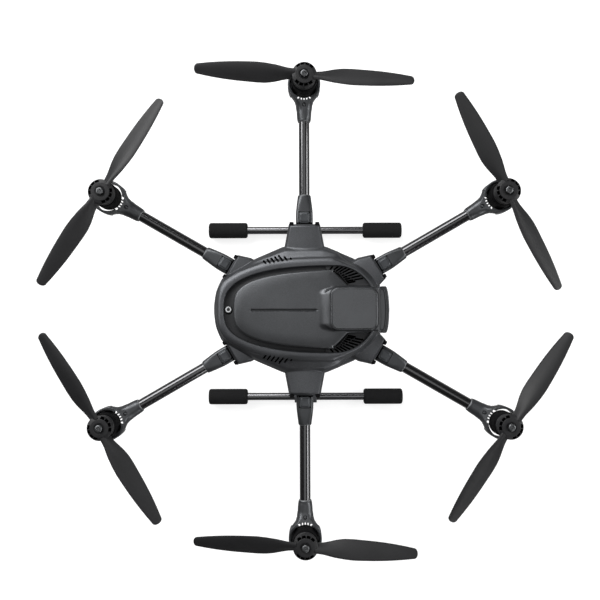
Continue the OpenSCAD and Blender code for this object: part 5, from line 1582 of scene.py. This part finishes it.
class HEXACOPTER_OT_gimbal(bpy.types.Operator):
    """Builds the gimbal's two arms and the camera head"""
    bl_idname = "hexacopter.gimbal"
    bl_label = "Gimbal camera"
    bl_options = {"REGISTER", "UNDO"}

    def execute(self, context):
        softened_copy("gimbal_yaw_arm", "gimbal_yaw", look("Gimbal metal"), 0.6)
        softened_copy("gimbal_roll_arm", "gimbal_roll", look("Gimbal metal"), 0.6)
        softened_copy("camera", "camera_head", look("Camera plastic"), 0.6)
        low, high = corners("camera")
        glass, hood = camera_lens(high[0])
        place = lambda p: along_x(p, 0, 0, (low[2] + high[2]) / 2)
        piece("Lens_glass", moved(glass, place), "camera_head", look("Lens glass"))
        piece("Lens_hood", moved(hood, place), "camera_head", look("Camera plastic"))
        return {"FINISHED"}


class HEXACOPTER_OT_stage(bpy.types.Operator):
    """Builds the floor, the sky, the lamps and the camera"""
    bl_idname = "hexacopter.stage"
    bl_label = "Stage and camera"
    bl_options = {"REGISTER", "UNDO"}

    def execute(self, context):
        stage()
        camera()
        return {"FINISHED"}


class HEXACOPTER_PT_panel(bpy.types.Panel):
    """Lists the operators in the 3D view's sidebar"""
    bl_idname = "HEXACOPTER_PT_panel"
    bl_label = "Hexacopter"
    bl_space_type = "VIEW_3D"
    bl_region_type = "UI"
    bl_category = "Hexacopter"

    def draw(self, context):
        """Draws a button for each operator and a box for each group of settings."""
        for operator in OPERATORS:
            self.layout.operator(operator.bl_idname)
        for name in ("hexacopter_body", "hexacopter_arm", "hexacopter_finish", "hexacopter_view"):
            box = self.layout.box()
            group = getattr(context.scene, name)
            for key in group.bl_rna.properties.keys():
                if key not in ("rna_type", "name"):
                    box.prop(group, key)


OPERATORS = (HEXACOPTER_OT_stage, HEXACOPTER_OT_materials, HEXACOPTER_OT_shells, HEXACOPTER_OT_fittings,
             HEXACOPTER_OT_arms, HEXACOPTER_OT_rotors, HEXACOPTER_OT_legs, HEXACOPTER_OT_gimbal)
GROUPS = {"hexacopter_body": HEXACOPTER_PG_body, "hexacopter_arm": HEXACOPTER_PG_arm,
          "hexacopter_finish": HEXACOPTER_PG_finish, "hexacopter_view": HEXACOPTER_PG_view}


def register():
    """Registers every class and hangs the settings on the scene."""
    for cls in (*GROUPS.values(), *OPERATORS, HEXACOPTER_PT_panel):
        bpy.utils.register_class(cls)
    for name, cls in GROUPS.items():
        setattr(bpy.types.Scene, name, PointerProperty(type=cls))


def unregister():
    """Takes the settings off the scene and unregisters every class."""
    for name in GROUPS:
        delattr(bpy.types.Scene, name)
    for cls in (HEXACOPTER_PT_panel, *OPERATORS[::-1], *list(GROUPS.values())[::-1]):
        bpy.utils.unregister_class(cls)


def main():
    """Registers the add-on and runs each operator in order."""
    register()
    bpy.ops.hexacopter.stage()
    bpy.ops.hexacopter.materials()
    bpy.ops.hexacopter.shells()
    bpy.ops.hexacopter.fittings()
    bpy.ops.hexacopter.arms()
    bpy.ops.hexacopter.rotors()
    bpy.ops.hexacopter.legs()
    bpy.ops.hexacopter.gimbal()
    write_points()


if __name__ == "__main__":
    main()
